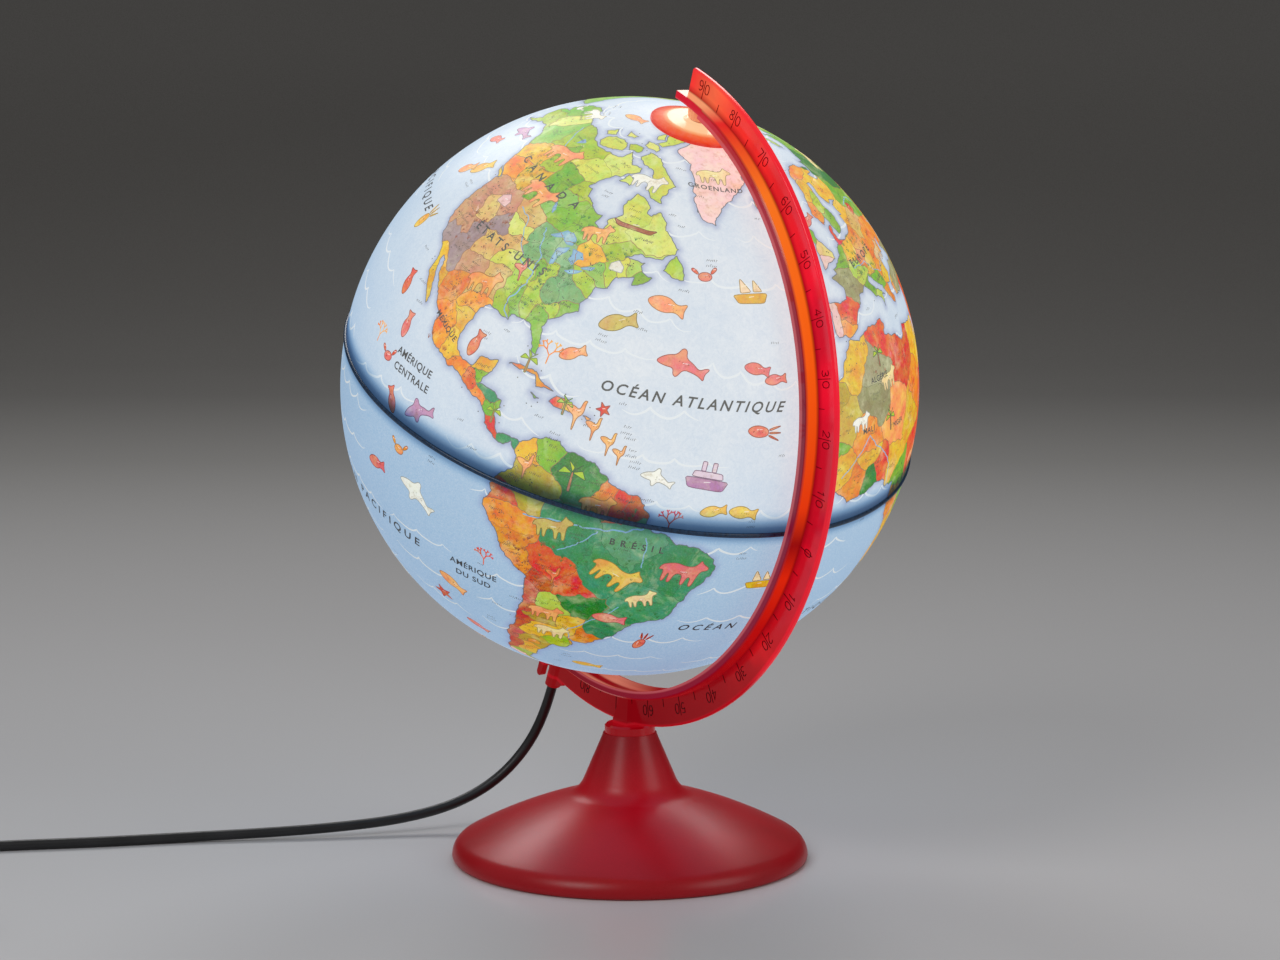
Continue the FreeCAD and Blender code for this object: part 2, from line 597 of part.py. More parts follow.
# ---- output -------------------------------------------------------------------------------------
def make_all():
    plug_body, plug_pins = make_plug()
    return {
        "base_shell": make_base_shell(),
        "base_weight": make_base_weight(),
        "base_cover": make_base_cover(),
        "foot_pad": make_foot_pad(),
        "stem_screw": make_stem_screw(),
        "stem_washer": make_stem_washer(),
        "neck_collar": make_neck_collar(),
        "meridian_arm": make_meridian_arm(),
        "north_pivot_pin": make_north_pivot_pin(),
        "north_hemisphere": make_north_hemisphere(),
        "south_hemisphere": make_south_hemisphere(),
        "equator_ring": make_equator_ring(),
        "north_cap": make_north_cap(),
        "north_bush": make_north_bush(),
        "south_bush": make_south_bush(),
        "lamp_seat": make_lamp_seat(),
        "nipple": make_nipple(),
        "nipple_nut": make_nipple_nut(),
        "lampholder_cap": make_lampholder_cap(),
        "lampholder_body": make_lampholder_body(),
        "lampholder_shell": make_lampholder_shell(),
        "lampholder_contacts": make_lampholder_contacts(),
        "bulb_cap": make_bulb_cap(),
        "bulb_contact": make_bulb_contact(),
        "bulb_glass": make_bulb_glass(),
        "bulb_filament": make_bulb_filament(),
        "inner_cable": make_inner_cable(),
        "lamp_leads": make_lamp_leads(),
        "cord_grip": make_cord_grip(),
        "cord_lead": lead_tube(LEAD_ROUTE, "cord_lead"),
        "cord_link": lead_tube(LINK_ROUTE, "cord_link"),
        "cord_coil": make_cord_coil(),
        "cord_tail": lead_tube(TAIL_ROUTE, "cord_tail"),
        "switch_base": make_switch_base(),
        "switch_cover": make_switch_cover(),
        "switch_rocker": make_switch_rocker(),
        "switch_pin": make_switch_pin(),
        "switch_screws": make_switch_screws(),
        "switch_terminals": make_switch_terminals(),
        "plug_body": plug_body,
        "plug_pins": plug_pins,
    }


os.makedirs("parts", exist_ok=True)
for name, shape in make_all().items():
    solids = shape.Solids
    if not solids or not shape.isValid():
        print("CHECK", name, "solids", len(solids), "valid", shape.isValid())
    if len(solids) == 1:
        shape = solids[0]
    shape.exportStep(f"parts/{name}.step")
    size = shape.BoundBox
    print(f"{name}: {len(solids)} solid(s), {shape.Volume / 1000:.2f} cm3,",
          f"z {size.ZMin:.2f} to {size.ZMax:.2f}")
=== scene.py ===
import math
import random

import bpy
import numpy as np
from mathutils import Matrix, Vector, geometry, kdtree, noise


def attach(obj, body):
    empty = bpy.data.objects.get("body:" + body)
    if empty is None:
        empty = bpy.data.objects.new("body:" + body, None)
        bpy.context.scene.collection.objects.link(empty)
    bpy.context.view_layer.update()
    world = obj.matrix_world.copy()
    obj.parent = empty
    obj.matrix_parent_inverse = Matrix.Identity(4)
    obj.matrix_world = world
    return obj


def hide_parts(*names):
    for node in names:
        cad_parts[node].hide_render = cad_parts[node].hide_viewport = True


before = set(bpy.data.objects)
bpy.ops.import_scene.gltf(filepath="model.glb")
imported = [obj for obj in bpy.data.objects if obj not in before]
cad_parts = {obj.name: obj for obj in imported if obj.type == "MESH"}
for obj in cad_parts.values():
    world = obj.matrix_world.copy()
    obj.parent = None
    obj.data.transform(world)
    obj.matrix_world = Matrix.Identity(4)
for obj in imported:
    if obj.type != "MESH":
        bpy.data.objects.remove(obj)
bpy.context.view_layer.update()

MM = 0.001
# Where the globe's centre stands, how far its axis leans, and the frame it is drawn in (Z through the poles).
CENTRE = Vector((0, 0, 0.2085))
TILT = math.radians(23.5)
POLAR = Matrix.Translation(CENTRE) @ Matrix.Rotation(TILT, 4, "Y")
AXIS = Vector((math.sin(TILT), 0, math.cos(TILT)))
# The map shell in millimetres: outer and inner radius, and half of the gap that the seam band fills.
SHELL_R, SHELL_INNER, HALF_SEAM = 125.0, 123.4, 1.1
GLOBE_R = SHELL_R * MM
MM_PER_DEGREE = 2.1817  # along the sphere
LON_AT_ARM = -21.0
# The camera's heading over the floor, and how far it looks down.
HEADING = (-0.8209, 0.5711)
PITCH = math.radians(7.905)
BLACK, WHITE = (0, 0, 0, 1), (1, 1, 1, 1)
scene = bpy.context.scene
COLLECTION = scene.collection
noise.seed_set(5)  # without a seed, mathutils takes its noise offsets from the clock


# ---- node helpers ---------------------------------------------------------------------------------
def srgb(r, g, b):
    """Linear colour from 0-255 values."""
    lin = lambda v: v / 12.92 if v <= 0.04045 else ((v + 0.055) / 1.055) ** 2.4
    return (lin(r / 255), lin(g / 255), lin(b / 255), 1.0)


class Nodes:
    """Short way to build a material's node tree."""

    def __init__(self, name):
        self.mat = bpy.data.materials.new(name)
        self.mat.use_nodes = True
        self.tree = self.mat.node_tree
        self.tree.nodes.clear()
        self.out = self.tree.nodes.new("ShaderNodeOutputMaterial")
        self.coord = self.tree.nodes.new("ShaderNodeTexCoord").outputs["Object"]

    def add(self, kind, inputs=None, **props):
        node = self.tree.nodes.new("ShaderNode" + kind)
        for key, value in props.items():
            setattr(node, key, value)
        for key, value in (inputs or {}).items():
            self.plug(node.inputs[key], value)
        return node

    def plug(self, socket, value):
        """Links a socket to the value, or sets it when the value is a constant."""
        if isinstance(value, bpy.types.NodeSocket):
            self.tree.links.new(value, socket)
        else:
            socket.default_value = value

    def math(self, op, a, b=0.0, c=0.0, clamp=False):
        return self.add("Math", {0: a, 1: b, 2: c}, operation=op, use_clamp=clamp).outputs[0]

    def vmath(self, op, a, b=(0, 0, 0)):
        node = self.add("VectorMath", {0: a, 1: b}, operation=op)
        return node.outputs["Value"] if op in ("DOT_PRODUCT", "LENGTH", "DISTANCE") else node.outputs[0]

    def noise(self, scale, detail=3.0, rough=0.55, vector=None, distortion=0.0):
        inputs = {"Vector": vector or self.coord, "Scale": scale, "Detail": detail,
                  "Roughness": rough, "Distortion": distortion}
        return self.add("TexNoise", inputs).outputs["Fac"]

    def ramp(self, value, stops):
        node = self.add("ValToRGB", {"Fac": value})
        ramp = node.color_ramp
        while len(ramp.elements) < len(stops):
            ramp.elements.new(0.5)
        for element, (place, colour) in zip(ramp.elements, stops):
            element.position = place
            element.color = colour if len(colour) == 4 else (*colour, 1)
        return node.outputs["Color"]

    def grey(self, value, *stops):
        """Ramp with grey levels, given as (place, level)."""
        return self.ramp(value, [(p, (v, v, v, 1)) for p, v in stops])

    def range(self, value, a, b, c=0.0, d=1.0, smooth=False):
        kind = "SMOOTHSTEP" if smooth else "LINEAR"
        inputs = {"Value": value, "From Min": a, "From Max": b, "To Min": c, "To Max": d}
        return self.add("MapRange", inputs, interpolation_type=kind).outputs[0]

    def mix(self, fac, a, b, blend="MIX"):
        node = self.add("Mix", data_type="RGBA", blend_type=blend)
        for index, value in ((0, fac), (6, a), (7, b)):
            self.plug(node.inputs[index], value)
        return node.outputs[2]

    def bump(self, height, strength, distance=0.0002):
        return self.add("Bump", {"Height": height, "Strength": strength, "Distance": distance}).outputs[0]

    def finish(self, shader_inputs):
        node = self.add("BsdfPrincipled", shader_inputs)
        self.tree.links.new(node.outputs[0], self.out.inputs["Surface"])
        return self.mat

    def glow(self, colour, strength, darker, shader_inputs, dark=BLACK):
        """Finish with a painted glow, as for a part lit from inside: the colour shines as emission, and the surface
        under it is darker.
        """
        return self.finish({"Base Color": self.mix(darker, colour, dark), "Emission Color": colour,
                            "Emission Strength": strength, **shader_inputs})


# ---- mesh helpers ---------------------------------------------------------------------------------
def piece(name, verts, faces, mat, body, replaces=(), angle=35, attrs=None, matrix=None):
    """New mesh object that rides on a body. Edges sharper than the angle, in degrees, stay sharp (0 smooths all)."""
    mesh = bpy.data.meshes.new(name)
    mesh.from_pydata([tuple(v) for v in verts], [], faces)
    mesh.update()
    mesh.materials.append(mat)
    if matrix is not None:
        mesh.transform(matrix)
    for key, (kind, domain, values) in (attrs or {}).items():
        attribute = mesh.attributes.new(key, kind, domain)
        attribute.data.foreach_set("color" if "COLOR" in kind else "value", values)
    mesh.shade_smooth()
    if angle:
        mesh.set_sharp_from_angle(angle=math.radians(angle))
    obj = bpy.data.objects.new(name, mesh)
    COLLECTION.objects.link(obj)
    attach(obj, body)
    if replaces:
        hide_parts(*replaces)
    return obj


def lathe(profile, segments=96):
    """Vertices and faces of a closed (radius, z) profile turned about Z, in millimetres."""
    verts, faces, rows = [], [], []
    for radius, z in profile:
        rows.append(range(len(verts), len(verts) + segments))
        for i in range(segments):
            angle = 2 * math.pi * i / segments
            verts.append((radius * math.cos(angle) * MM, radius * math.sin(angle) * MM, z * MM))
    for a, b in zip(rows, rows[1:] + rows[:1]):
        for i in range(segments):
            j = (i + 1) % segments
            faces.append([a[i], a[j], b[j], b[i]])
    return verts, faces


def between(first, last, steps):
    """Evenly spaced values from first to last."""
    return [first + (last - first) * i / steps for i in range(steps + 1)]


def on_circle(cx, cz, radius, angles):
    return [(cx + radius * math.cos(a), cz + radius * math.sin(a)) for a in angles]


def fillet_line(points, rounds, steps=6):
    """2-D line through points, with each inner corner rounded by the given radius (0 keeps it sharp)."""
    out = [points[0]]
    for i in range(1, len(points) - 1):
        p, a, b = Vector(points[i]), Vector(points[i - 1]), Vector(points[i + 1])
        u, v = (a - p).normalized(), (b - p).normalized()
        half = u.angle(v) / 2
        if not rounds[i] or half > math.pi / 2 - 0.02:
            out.append(tuple(p))
            continue
        share = [0.48 if rounds[k] else 0.95 for k in (i - 1, i + 1)]
        reach = min(rounds[i] / math.tan(half), share[0] * (a - p).length, share[1] * (b - p).length)
        start, end = p + u * reach, p + v * reach
        for k in range(steps + 1):
            t = k / steps
            out.append(tuple(start * (1 - t) ** 2 + p * (2 * t * (1 - t)) + end * t ** 2))
    out.append(points[-1])
    return out


# ---- camera and stage -----------------------------------------------------------------------------
def make_camera():
    data = bpy.data.cameras.new("camera")
    data.sensor_width = 36.0
    data.lens = 97.9
    data.clip_end = 50
    obj = bpy.data.objects.new("camera", data)
    COLLECTION.objects.link(obj)
    forward = Vector((HEADING[0] * math.cos(PITCH), HEADING[1] * math.cos(PITCH), -math.sin(PITCH)))
    obj.location = (1.2339, -0.8530, 0.3759)
    obj.rotation_euler = forward.to_track_quat("-Z", "Y").to_euler()
    scene.camera = obj


def make_stage():
    """Floor that curves up into a backdrop; its colour is painted light fall-off, pale near the camera and dark far
    from it.
    """
    n = Nodes("studio_floor")
    view = Vector((*HEADING, 0)).normalized()
    along = n.vmath("DOT_PRODUCT", n.coord, tuple(view))
    # Painted light fall-off along the view.
    far = n.ramp(n.range(along, -0.6, 2.9), [
        (0.0, srgb(222, 222, 224)), (0.2, srgb(212, 212, 214)), (0.34, srgb(186, 185, 186)),
        (0.55, srgb(146, 145, 143)), (0.8, srgb(112, 110, 107)), (1.0, srgb(96, 94, 90))])
    fleck = n.noise(900.0, 2.0)
    colour = n.mix(n.range(fleck, 0.3, 0.7, 0.0, 0.04), far, WHITE)
    mat = n.finish({"Base Color": colour, "Roughness": 0.24, "Specular IOR Level": 0.4})
    near, side, depth, rise, bend = -4.0, 6.0, 3.0, 3.2, 1.2
    line = [(near, 0.0), (depth - bend, 0.0)]
    line += [(depth - bend + bend * math.sin(a), bend - bend * math.cos(a))
             for a in (math.radians(7.5 * i) for i in range(1, 13))]
    line.append((depth, rise))
    across = Vector((view.y, -view.x, 0))
    verts = [tuple(view * reach + across * s + Vector((0, 0, height))) for reach, height in line
             for s in (-side, side)]
    faces = [(2 * i, 2 * i + 1, 2 * i + 3, 2 * i + 2) for i in range(len(line) - 1)]
    mesh = bpy.data.meshes.new("floor")
    mesh.from_pydata(verts, [], faces)
    mesh.materials.append(mat)
    mesh.shade_smooth()
    obj = bpy.data.objects.new("floor", mesh)
    COLLECTION.objects.link(obj)


def make_lights():
    world = bpy.data.worlds.new("world")
    world.use_nodes = True
    world.node_tree.nodes["Background"].inputs[0].default_value = (0.94, 0.93, 0.93, 1)
    world.node_tree.nodes["Background"].inputs[1].default_value = 0.28
    scene.world = world
    # The two at the back make the pale patches on the base.
    for name, spot, aim, size, power in (
            ("key", (0.5, -1.7, 1.5), 0.15, 1.0, 12), ("fill", (1.7, 0.9, 0.9), 0.12, 1.2, 7),
            ("back_left", (-1.36, 0.24, 1.35), 0.05, 0.7, 7), ("back_right", (-0.84, 0.98, 1.35), 0.05, 0.7, 6)):
        data = bpy.data.lights.new(name, "AREA")
        data.shape = "DISK"
        data.size = size
        data.energy = power
        obj = bpy.data.objects.new(name, data)
        COLLECTION.objects.link(obj)
        obj.location = spot
        obj.rotation_euler = (Vector((0, 0, aim)) - Vector(spot)).to_track_quat("-Z", "Y").to_euler()
    scene.view_settings.view_transform = "Standard"
    scene.view_settings.look = "None"


# ---- mains lead -----------------------------------------------------------------------------------
# The lead's route, the same points as the tube's.
LEAD_ROUTE = [
    (-61.4, 0.0, 67.3), (-67.0, 0.0, 54.5), (-73.6, -6.0, 36.5), (-79.4, -19.0, 21.5),
    (-85.4, -38.0, 11.6), (-93.4, -62.0, 6.6), (-104.9, -90.5, 4.4), (-119.4, -119.5, 3.1),
    (-134.7, -150.4, 2.4), (-149.0, -186.5, 2.4), (-165.3, -220.0, 2.4), (-177.4, -249.1, 2.4),
    (-178.6, -273.9, 3.4), (-163.4, -294.4, 6.0),
]
LINK_ROUTE = [
    (-109.7, -325.7, 6.0), (-93.9, -334.6, 4.2), (-82.8, -341.1, 2.6), (-72.6, -347.6, 2.4),
]
TAIL_ROUTE = [
    (-53.0, -353.2, 7.1), (-38.6, -354.8, 6.2), (-24.4, -354.3, 4.2), (-10.4, -351.6, 3.4),
    (3.0, -349.2, 5.2), (16.0, -350.5, 6.85),
]
CORD_R = 2.3
COIL_CENTRE = (-54.6, -320.2)
COIL_R = 25.8  # to the middle of the four turns
COIL_PITCH = 4.7
COIL_TURNS = 7
POINTS_PER_TURN = 16
COIL_BED = 2.35  # height of the lower turns
CHANGE_AT = 0.58  # share of a turn after which the cord moves to the next row
TIE_HEADING = math.radians(75)
TIE_RISE = 0.7  # how far the tie's strap lifts the turns
CURVE_PULL = 0.987  # the curve runs this much inside its control points


def coil_points():
    """Control points of the put-away turns: four side by side going in, then three on top coming out."""
    first, last = math.radians(-123.3), math.radians(-87.2)
    total = COIL_TURNS * 2 * math.pi + (last - first)
    steps = round(total / (2 * math.pi) * POINTS_PER_TURN)
    outer = COIL_PITCH * 1.5 + COIL_R
    points = []
    for i in range(1, steps):
        angle = total * i / steps
        turn = angle / (2 * math.pi)
        whole = int(turn)
        ease = min(max((turn - whole - CHANGE_AT) / (1 - CHANGE_AT), 0.0), 1.0)
        ease = ease * ease * (3 - 2 * ease)
        if turn < 4:
            column = whole + (ease if whole < 3 else 0.0)
            z = COIL_BED + (COIL_PITCH * ease if whole == 3 else 0.0)
        else:
            column = 3 - (whole - 4) - ease
            z = COIL_BED + COIL_PITCH
        radius = (outer - COIL_PITCH * column) / CURVE_PULL
        heading = first + angle
        off_tie = math.degrees((heading - TIE_HEADING + math.pi) % (2 * math.pi) - math.pi)
        z += TIE_RISE * math.cos(math.radians(min(abs(off_tie), 60) * 1.5)) ** 2
        points.append((COIL_CENTRE[0] + radius * math.cos(heading),
                       COIL_CENTRE[1] + radius * math.sin(heading), z))
    return points


def rubber():
    n = Nodes("lead_pvc")
    grain = n.noise(900.0, 3.0)
    dust = n.noise(60.0, 4.0)
    colour = n.mix(n.grey(dust, (0.42, 0.0), (0.75, 0.5)), srgb(20, 20, 21), srgb(44, 44, 46))
    return n.finish({"Base Color": colour, "Roughness": n.range(grain, 0.3, 0.7, 0.34, 0.48),
                     "Normal": n.bump(grain, 0.12), "Specular IOR Level": 0.5})


def make_cord(name, points, mat, replaces):
    curve = bpy.data.curves.new(name, "CURVE")
    curve.dimensions = "3D"
    spline = curve.splines.new("NURBS")
    spline.points.add(len(points) - 1)
    for control, point in zip(spline.points, points):
        control.co = (point[0] * MM, point[1] * MM, point[2] * MM, 1)
    spline.order_u = 3
    spline.use_endpoint_u = True
    spline.resolution_u = 8
    curve.bevel_depth = CORD_R * MM
    curve.bevel_resolution = 5
    curve.use_fill_caps = True
    curve.materials.append(mat)
    obj = bpy.data.objects.new(name, curve)
    COLLECTION.objects.link(obj)
    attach(obj, "stand")
    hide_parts(*replaces)
    return obj


make_camera()
make_stage()
make_lights()
PVC = rubber()
lead = make_cord("mains_lead", LEAD_ROUTE, PVC, ["cord_lead"])
spare = make_cord("spare_lead", LINK_ROUTE + coil_points() + TAIL_ROUTE, PVC,
                  ["cord_link", "cord_coil", "cord_tail"])

# ---- globe map ------------------------------------------------------------------------------------
# Plain printed colours, one letter each, as 0-255 values.
INKS = {
    "y": (240, 188, 34), "o": (244, 146, 20), "r": (228, 88, 36), "g": (128, 186, 46),
    "l": (174, 204, 62), "p": (212, 222, 104), "t": (62, 148, 98), "k": (152, 150, 104),
    "n": (224, 188, 118), "b": (210, 160, 128), "m": (158, 134, 138), "i": (250, 208, 206),
    "d": (46, 132, 48), "c": (208, 104, 66), "e": (200, 172, 34), "w": (150, 192, 224),
    "z": (244, 244, 234), "v": (186, 128, 178), "u": (232, 98, 84), "a": (250, 166, 84),
    "j": (246, 220, 150), "x": (118, 174, 112), "s": (172, 82, 44),
}

# Each land: outline as "lat,lon" pairs, then its parts as "lat,lon,ink" seeds.
LANDS = {
    "north_america": ("""71,-156 70,-148 69.5,-141 69,-136 70,-130 69.5,-124 68.5,-116 68,-110 67.8,-102 68.3,-97
        69.5,-95 71.5,-95 69.5,-91 68.5,-88 69,-83 67.5,-82 66.3,-86 64.5,-88 63,-91 61,-94 59,-94.5 58.8,-93
        57,-91 56.5,-88 55.2,-84 55,-82 52.8,-82 51.3,-80.5 51.5,-79 53.5,-79 54.8,-79.5 56.5,-76.5 58.5,-78.3
        60.5,-77.7 62.4,-77.5 62.3,-74 61,-70 58.8,-69 58.5,-67.5 60.2,-65 59,-63.5 56.5,-61.5 54.5,-58 53,-55.8
        51.6,-56.5 50.2,-60 50.2,-66 48.5,-69.5 49,-66 48.6,-64.3 47.5,-65 46.2,-64.5 45.8,-61.2 44.5,-63.5
        43.5,-65.7 45.2,-65.5 44.8,-67.5 43.7,-70 42,-70.2 41.3,-71.5 40.7,-73.8 39,-74.8 37,-76 35.3,-75.7
        33.8,-78 32,-81 30,-81.4 27.5,-80.3 25.3,-80.3 26,-81.8 28.3,-82.7 29.9,-83.8 30.2,-86.5 30.3,-89
        29.1,-89.5 29.6,-92.5 29.4,-94.9 28,-97 26,-97.2 22.5,-97.8 19.5,-96.3 18.3,-94.3 18.6,-91.9 20.8,-90.4
        21.5,-87 19.5,-87.5 17.5,-88.2 15.9,-88.8 15.9,-85.5 15,-83.3 12,-83.7 10.5,-83.5 9,-82 9.5,-79.5
        8.8,-77.5 7.3,-77.9 8.6,-79 7.3,-80.3 8.2,-82.8 9.8,-85.2 11.2,-86 13,-87.6 13.5,-89.8 14.5,-92.2
        16.1,-94.8 15.9,-97 17.5,-101.5 19.2,-104.7 20.5,-105.5 22.8,-106 25.5,-109 28.5,-111.8 31.3,-113.5
        31.7,-114.8 30,-114.2 27.5,-112.2 24.5,-110.5 23,-110 24.8,-112.2 27.8,-114.8 30.3,-115.9 32.5,-117.2
        34.3,-120 36.5,-121.9 38.5,-123.3 40.4,-124.3 43,-124.4 46.2,-124 48.4,-124.6 49.3,-123.3 51,-127.6
        54,-130.5 57,-134 58.5,-137 60,-141 60.2,-146 59.5,-151.5 58.5,-154 56.5,-158.5 55,-163 56.5,-160.5
        58.7,-157.3 59,-162 61,-165.5 63,-164.5 64.5,-161 64.6,-166 66.2,-166.5 68.3,-166.5 70,-162""",
        """66,-156,g 62,-153,l 66,-146,p 64,-136,g 65,-124,l 62,-117,g 66,-108,l 63,-100,p 66.5,-92,p 54,-124,o
        57,-126,y 54.5,-115,y 58,-114,l 54,-106,g 58,-103,g 54,-98,g 57.5,-95,l 51,-91,g 50,-85,g 46,-79,y 52,-77,p
        57,-73,p 49,-73,l 54,-65,p 47,-66.5,l 45,-63.5,g 47.5,-120,b 44,-120.5,b 44,-114.5,n 47,-110,b 39.5,-121.5,b
        36,-119,m 39.5,-116.5,b 39.5,-111.8,m 43,-107.5,m 39,-105.5,n 34,-112,m 34.5,-106,b 47.5,-100.5,n
        44.5,-100,p 41.5,-99.5,n 38.5,-98.5,p 35.5,-97.5,n 31.5,-99,n 29,-98.5,a 46,-94.5,x 42,-93.5,x 38.5,-92.5,l
        35,-92.5,l 31,-92.2,l 44.5,-89.8,x 40,-89.3,g 32.7,-89.7,g 33,-86.8,l 36,-86.5,l 37.5,-84.5,x 44,-84.7,x
        40,-86.2,l 40.3,-82.7,x 32.8,-83.3,g 28.3,-81.7,g 34,-80.8,l 35.6,-78.8,g 37.6,-78.6,x 41,-77.6,l 43,-75.2,g
        44.2,-72,l 45.3,-69,p 31,-115.5,y 27,-113.5,y 28.5,-106,o 24,-102.5,o 25.5,-99,y 20,-102.5,o 19,-97.5,y
        17,-95,o 20,-89,y 15.5,-90.3,r 17,-88.8,g 14.8,-86.8,t 13.7,-88.8,o 12.8,-85,g 10,-84,r 8.6,-80,t"""),
    "south_america": ("""8.8,-77.5 9.4,-76 11,-74.8 12.3,-71.7 11.8,-70 10.5,-68 10.4,-65 10.6,-62 9,-61 8.5,-60
        6.8,-58 6,-55 5.8,-52.8 4.2,-51.5 1.8,-50 0,-50.2 -1,-48.5 -1,-46 -2.6,-43.5 -3,-40 -4,-38 -5.2,-35.8
        -7.5,-34.8 -10,-36.2 -13,-38.6 -16,-39 -19.5,-39.8 -22,-41 -23,-43.5 -24.5,-47 -27,-48.6 -29.5,-50
        -32,-52.2 -34.8,-54.5 -34.7,-57 -34.2,-58.4 -36.3,-56.8 -38.5,-58.5 -39,-62 -41,-63 -42.8,-64.5 -45,-66
        -47.2,-65.8 -49,-67.6 -51.5,-69 -52.5,-68.5 -54.8,-66 -55.3,-68 -53,-72.5 -50,-75 -46.5,-75 -43,-74
        -40,-73.7 -37,-73.4 -33,-71.6 -29,-71.4 -25,-70.5 -20,-70.2 -18.3,-70.4 -16.5,-73 -14,-76 -10.5,-78
        -6,-81 -4.3,-81.2 -2.5,-80 -1,-80.8 1,-79.7 2.5,-78.5 4,-77.4 6.5,-77.4 7.3,-77.9""",
        """4,-73.5,e 8.5,-75,y 1,-75,e 8,-67,d 6,-63,d 9.5,-70.5,g 5,-59,o 4,-56,r 4,-53,c -1.5,-78.5,r -6,-77,o
        -11,-75,o -15,-72,o -15,-66.5,r -18,-62.5,r -19,-67,c -5,-62,t -4,-52,t -9,-44,t -8,-37,t -12,-55,t
        -19,-46,t -28,-52,t -23,-58.5,d -33,-56,o -24,-64.5,l -29,-66.5,e -29,-60,y -34,-66,y -36,-61,l -39.5,-68,e
        -45,-69,y -50,-70.5,l -22,-69.3,c -27,-70,c -32,-70.7,c -38,-72.3,c -45,-73.2,c -52,-72.8,i"""),
    "africa": ("""35.8,-5.8 35.2,-2 36.8,3 37.3,9.8 36,10.8 34,10 33,12.5 32.3,15 30.3,18 31,20 32.8,21.8 31.5,25
        31.2,29 31.4,32.5 29.9,32.5 27,34 23,35.6 18,38.2 15,39.9 12.5,43.2 11.6,43.2 10.8,46 11.8,51.2 8,50
        4.5,47.8 1,44.5 -2,41 -5,39 -9,39.5 -13,40.6 -16,40 -20,35 -24,35.5 -26,32.9 -29,32 -33,28 -34.2,25
        -34.8,20 -33,18 -29,17 -24,14.6 -18.5,12 -14,12.5 -10,13.4 -6,12.3 -2,9.6 1,9.4 4,9.6 4.5,7 4.4,6 6.4,4
        6.2,1 4.9,-2 5.2,-4 4.4,-7.6 7,-11.5 9.5,-13.5 12,-16.8 14.7,-17.4 17,-16.3 21,-17 24,-15.8 27.9,-12.9
        30,-9.7 33.5,-7.8""",
        """32,-6,y 25,-13,e 28,3,k 24,1,k 34,9.5,r 27,17,r 27,30,y 20,-10,e 16.5,-2.5,o 17,9,a 15,18.5,y 20,22,o
        15,30,r 8,40,g 4,46,o 1,38,y 9,8,y 5,12.5,g 6.5,21,r 8,-1,d 7.5,-5.5,o 10.5,-11,y 14.5,-14.5,g 12.3,-1.5,y
        -3,23,g -1,12,o -6,35,o -12,17.5,y -14,27,r -16,37,g -22,17,k -22,24,y -19,30,o -31,22,o 9.5,2,r
        1.5,32.5,d"""),
    "eurasia": ("""37,-8.9 38.8,-9.4 43.2,-9.2 43.5,-2 46,-1.3 48.4,-4.6 48.7,-1.5 49.7,-1.7 50.2,1.5 51.5,3.5
        53.4,5.5 53.8,8.5 57,8.2 57.6,10.5 55.5,10 54.2,11 54.2,14 54.6,18.5 55.5,21 57.5,22 57.2,24.2 59.3,24
        59.8,30 60.5,25 60.2,22 62.8,21.3 65.2,25 65.7,22 63.5,19.5 60.8,17.2 59,17.8 56.2,16.2 55.4,13 57.7,11.8
        59.3,10.6 58.1,7 60.5,5 63,8 66,12.5 69,16 70.8,24 70.8,29.5 69.3,34 67,41 66.3,38 66.6,33 64.3,35 64,38
        65.8,40.5 66.5,44 68.4,44 67,47 68.5,54 69,60 71,67 73,69.5 68,73 71.5,75 72,78 73.5,81 75.5,88 77.6,104
        74,112 73.5,118 71,130 72.5,140 70.5,150 69.7,161 69,170 68,178 66,188 64.5,185 62,179 60.3,170.5
        58,162.5 54,160 51.2,156.8 55,155.6 59,159 61.8,164 60,155 59.2,148 56,138 53.5,141 48,140 43.2,133.5
        42,130.5 39.5,127.8 37.5,129.3 35.2,129 34.5,126.5 38,125 40,122 39,118 37.5,119 37,122.5 35,119.3
        32,121.5 29,122 25,119 22.5,114.5 21.3,110 19.5,106 16,108.3 12,109.2 10,106.5 8.8,104.8 11,102.8
        13,100.5 9.5,99.5 6.5,101.8 2.5,103.8 1.3,103.9 3,101 6.5,100 8.3,98.3 13,98.5 16.5,97 16,94.5 20,92.8
        22.5,91 21.5,87.5 18,83.8 15.8,80.5 13,80.3 10,79.5 8.2,77.5 11,75.5 15.5,73.8 19,72.8 21,72.5 21,70.5
        22.8,69 24.5,67 25.3,62 25.8,57.5 27,56.5 27.5,52.5 30,49.5 29,48 26.5,50 24.5,51.5 24,54 26,56.3
        22.5,59.8 18.5,57 16.5,53.5 13.8,48 12.7,44 16,42.8 21,39.3 25,37.2 29.5,34.8 31.3,34.3 33.5,35.5
        36.5,36 36.2,33 36.8,30.5 37,27.5 39.5,26.5 40.8,29 41.3,32 42,35 41,38 41.5,41.5 44,39 45.3,37 47,39
        46.5,35 44.5,34 46.3,31 44.5,28.8 41.5,28.5 40.5,26 40.8,24 39,23 37.8,24 36.5,22.8 38,21.3 39.8,19.8
        41.9,19.2 44,15.5 45.6,13.5 44.2,12.4 42,14.5 41.7,16 40,18.4 40.5,17 38,16 39.8,15.7 41.2,13 42.5,11
        44.2,9 43.3,6.5 43.4,4 41.8,3.2 39.7,-0.2 37.7,-0.8 36.8,-2.5 36.1,-5.4 37,-6.8""",
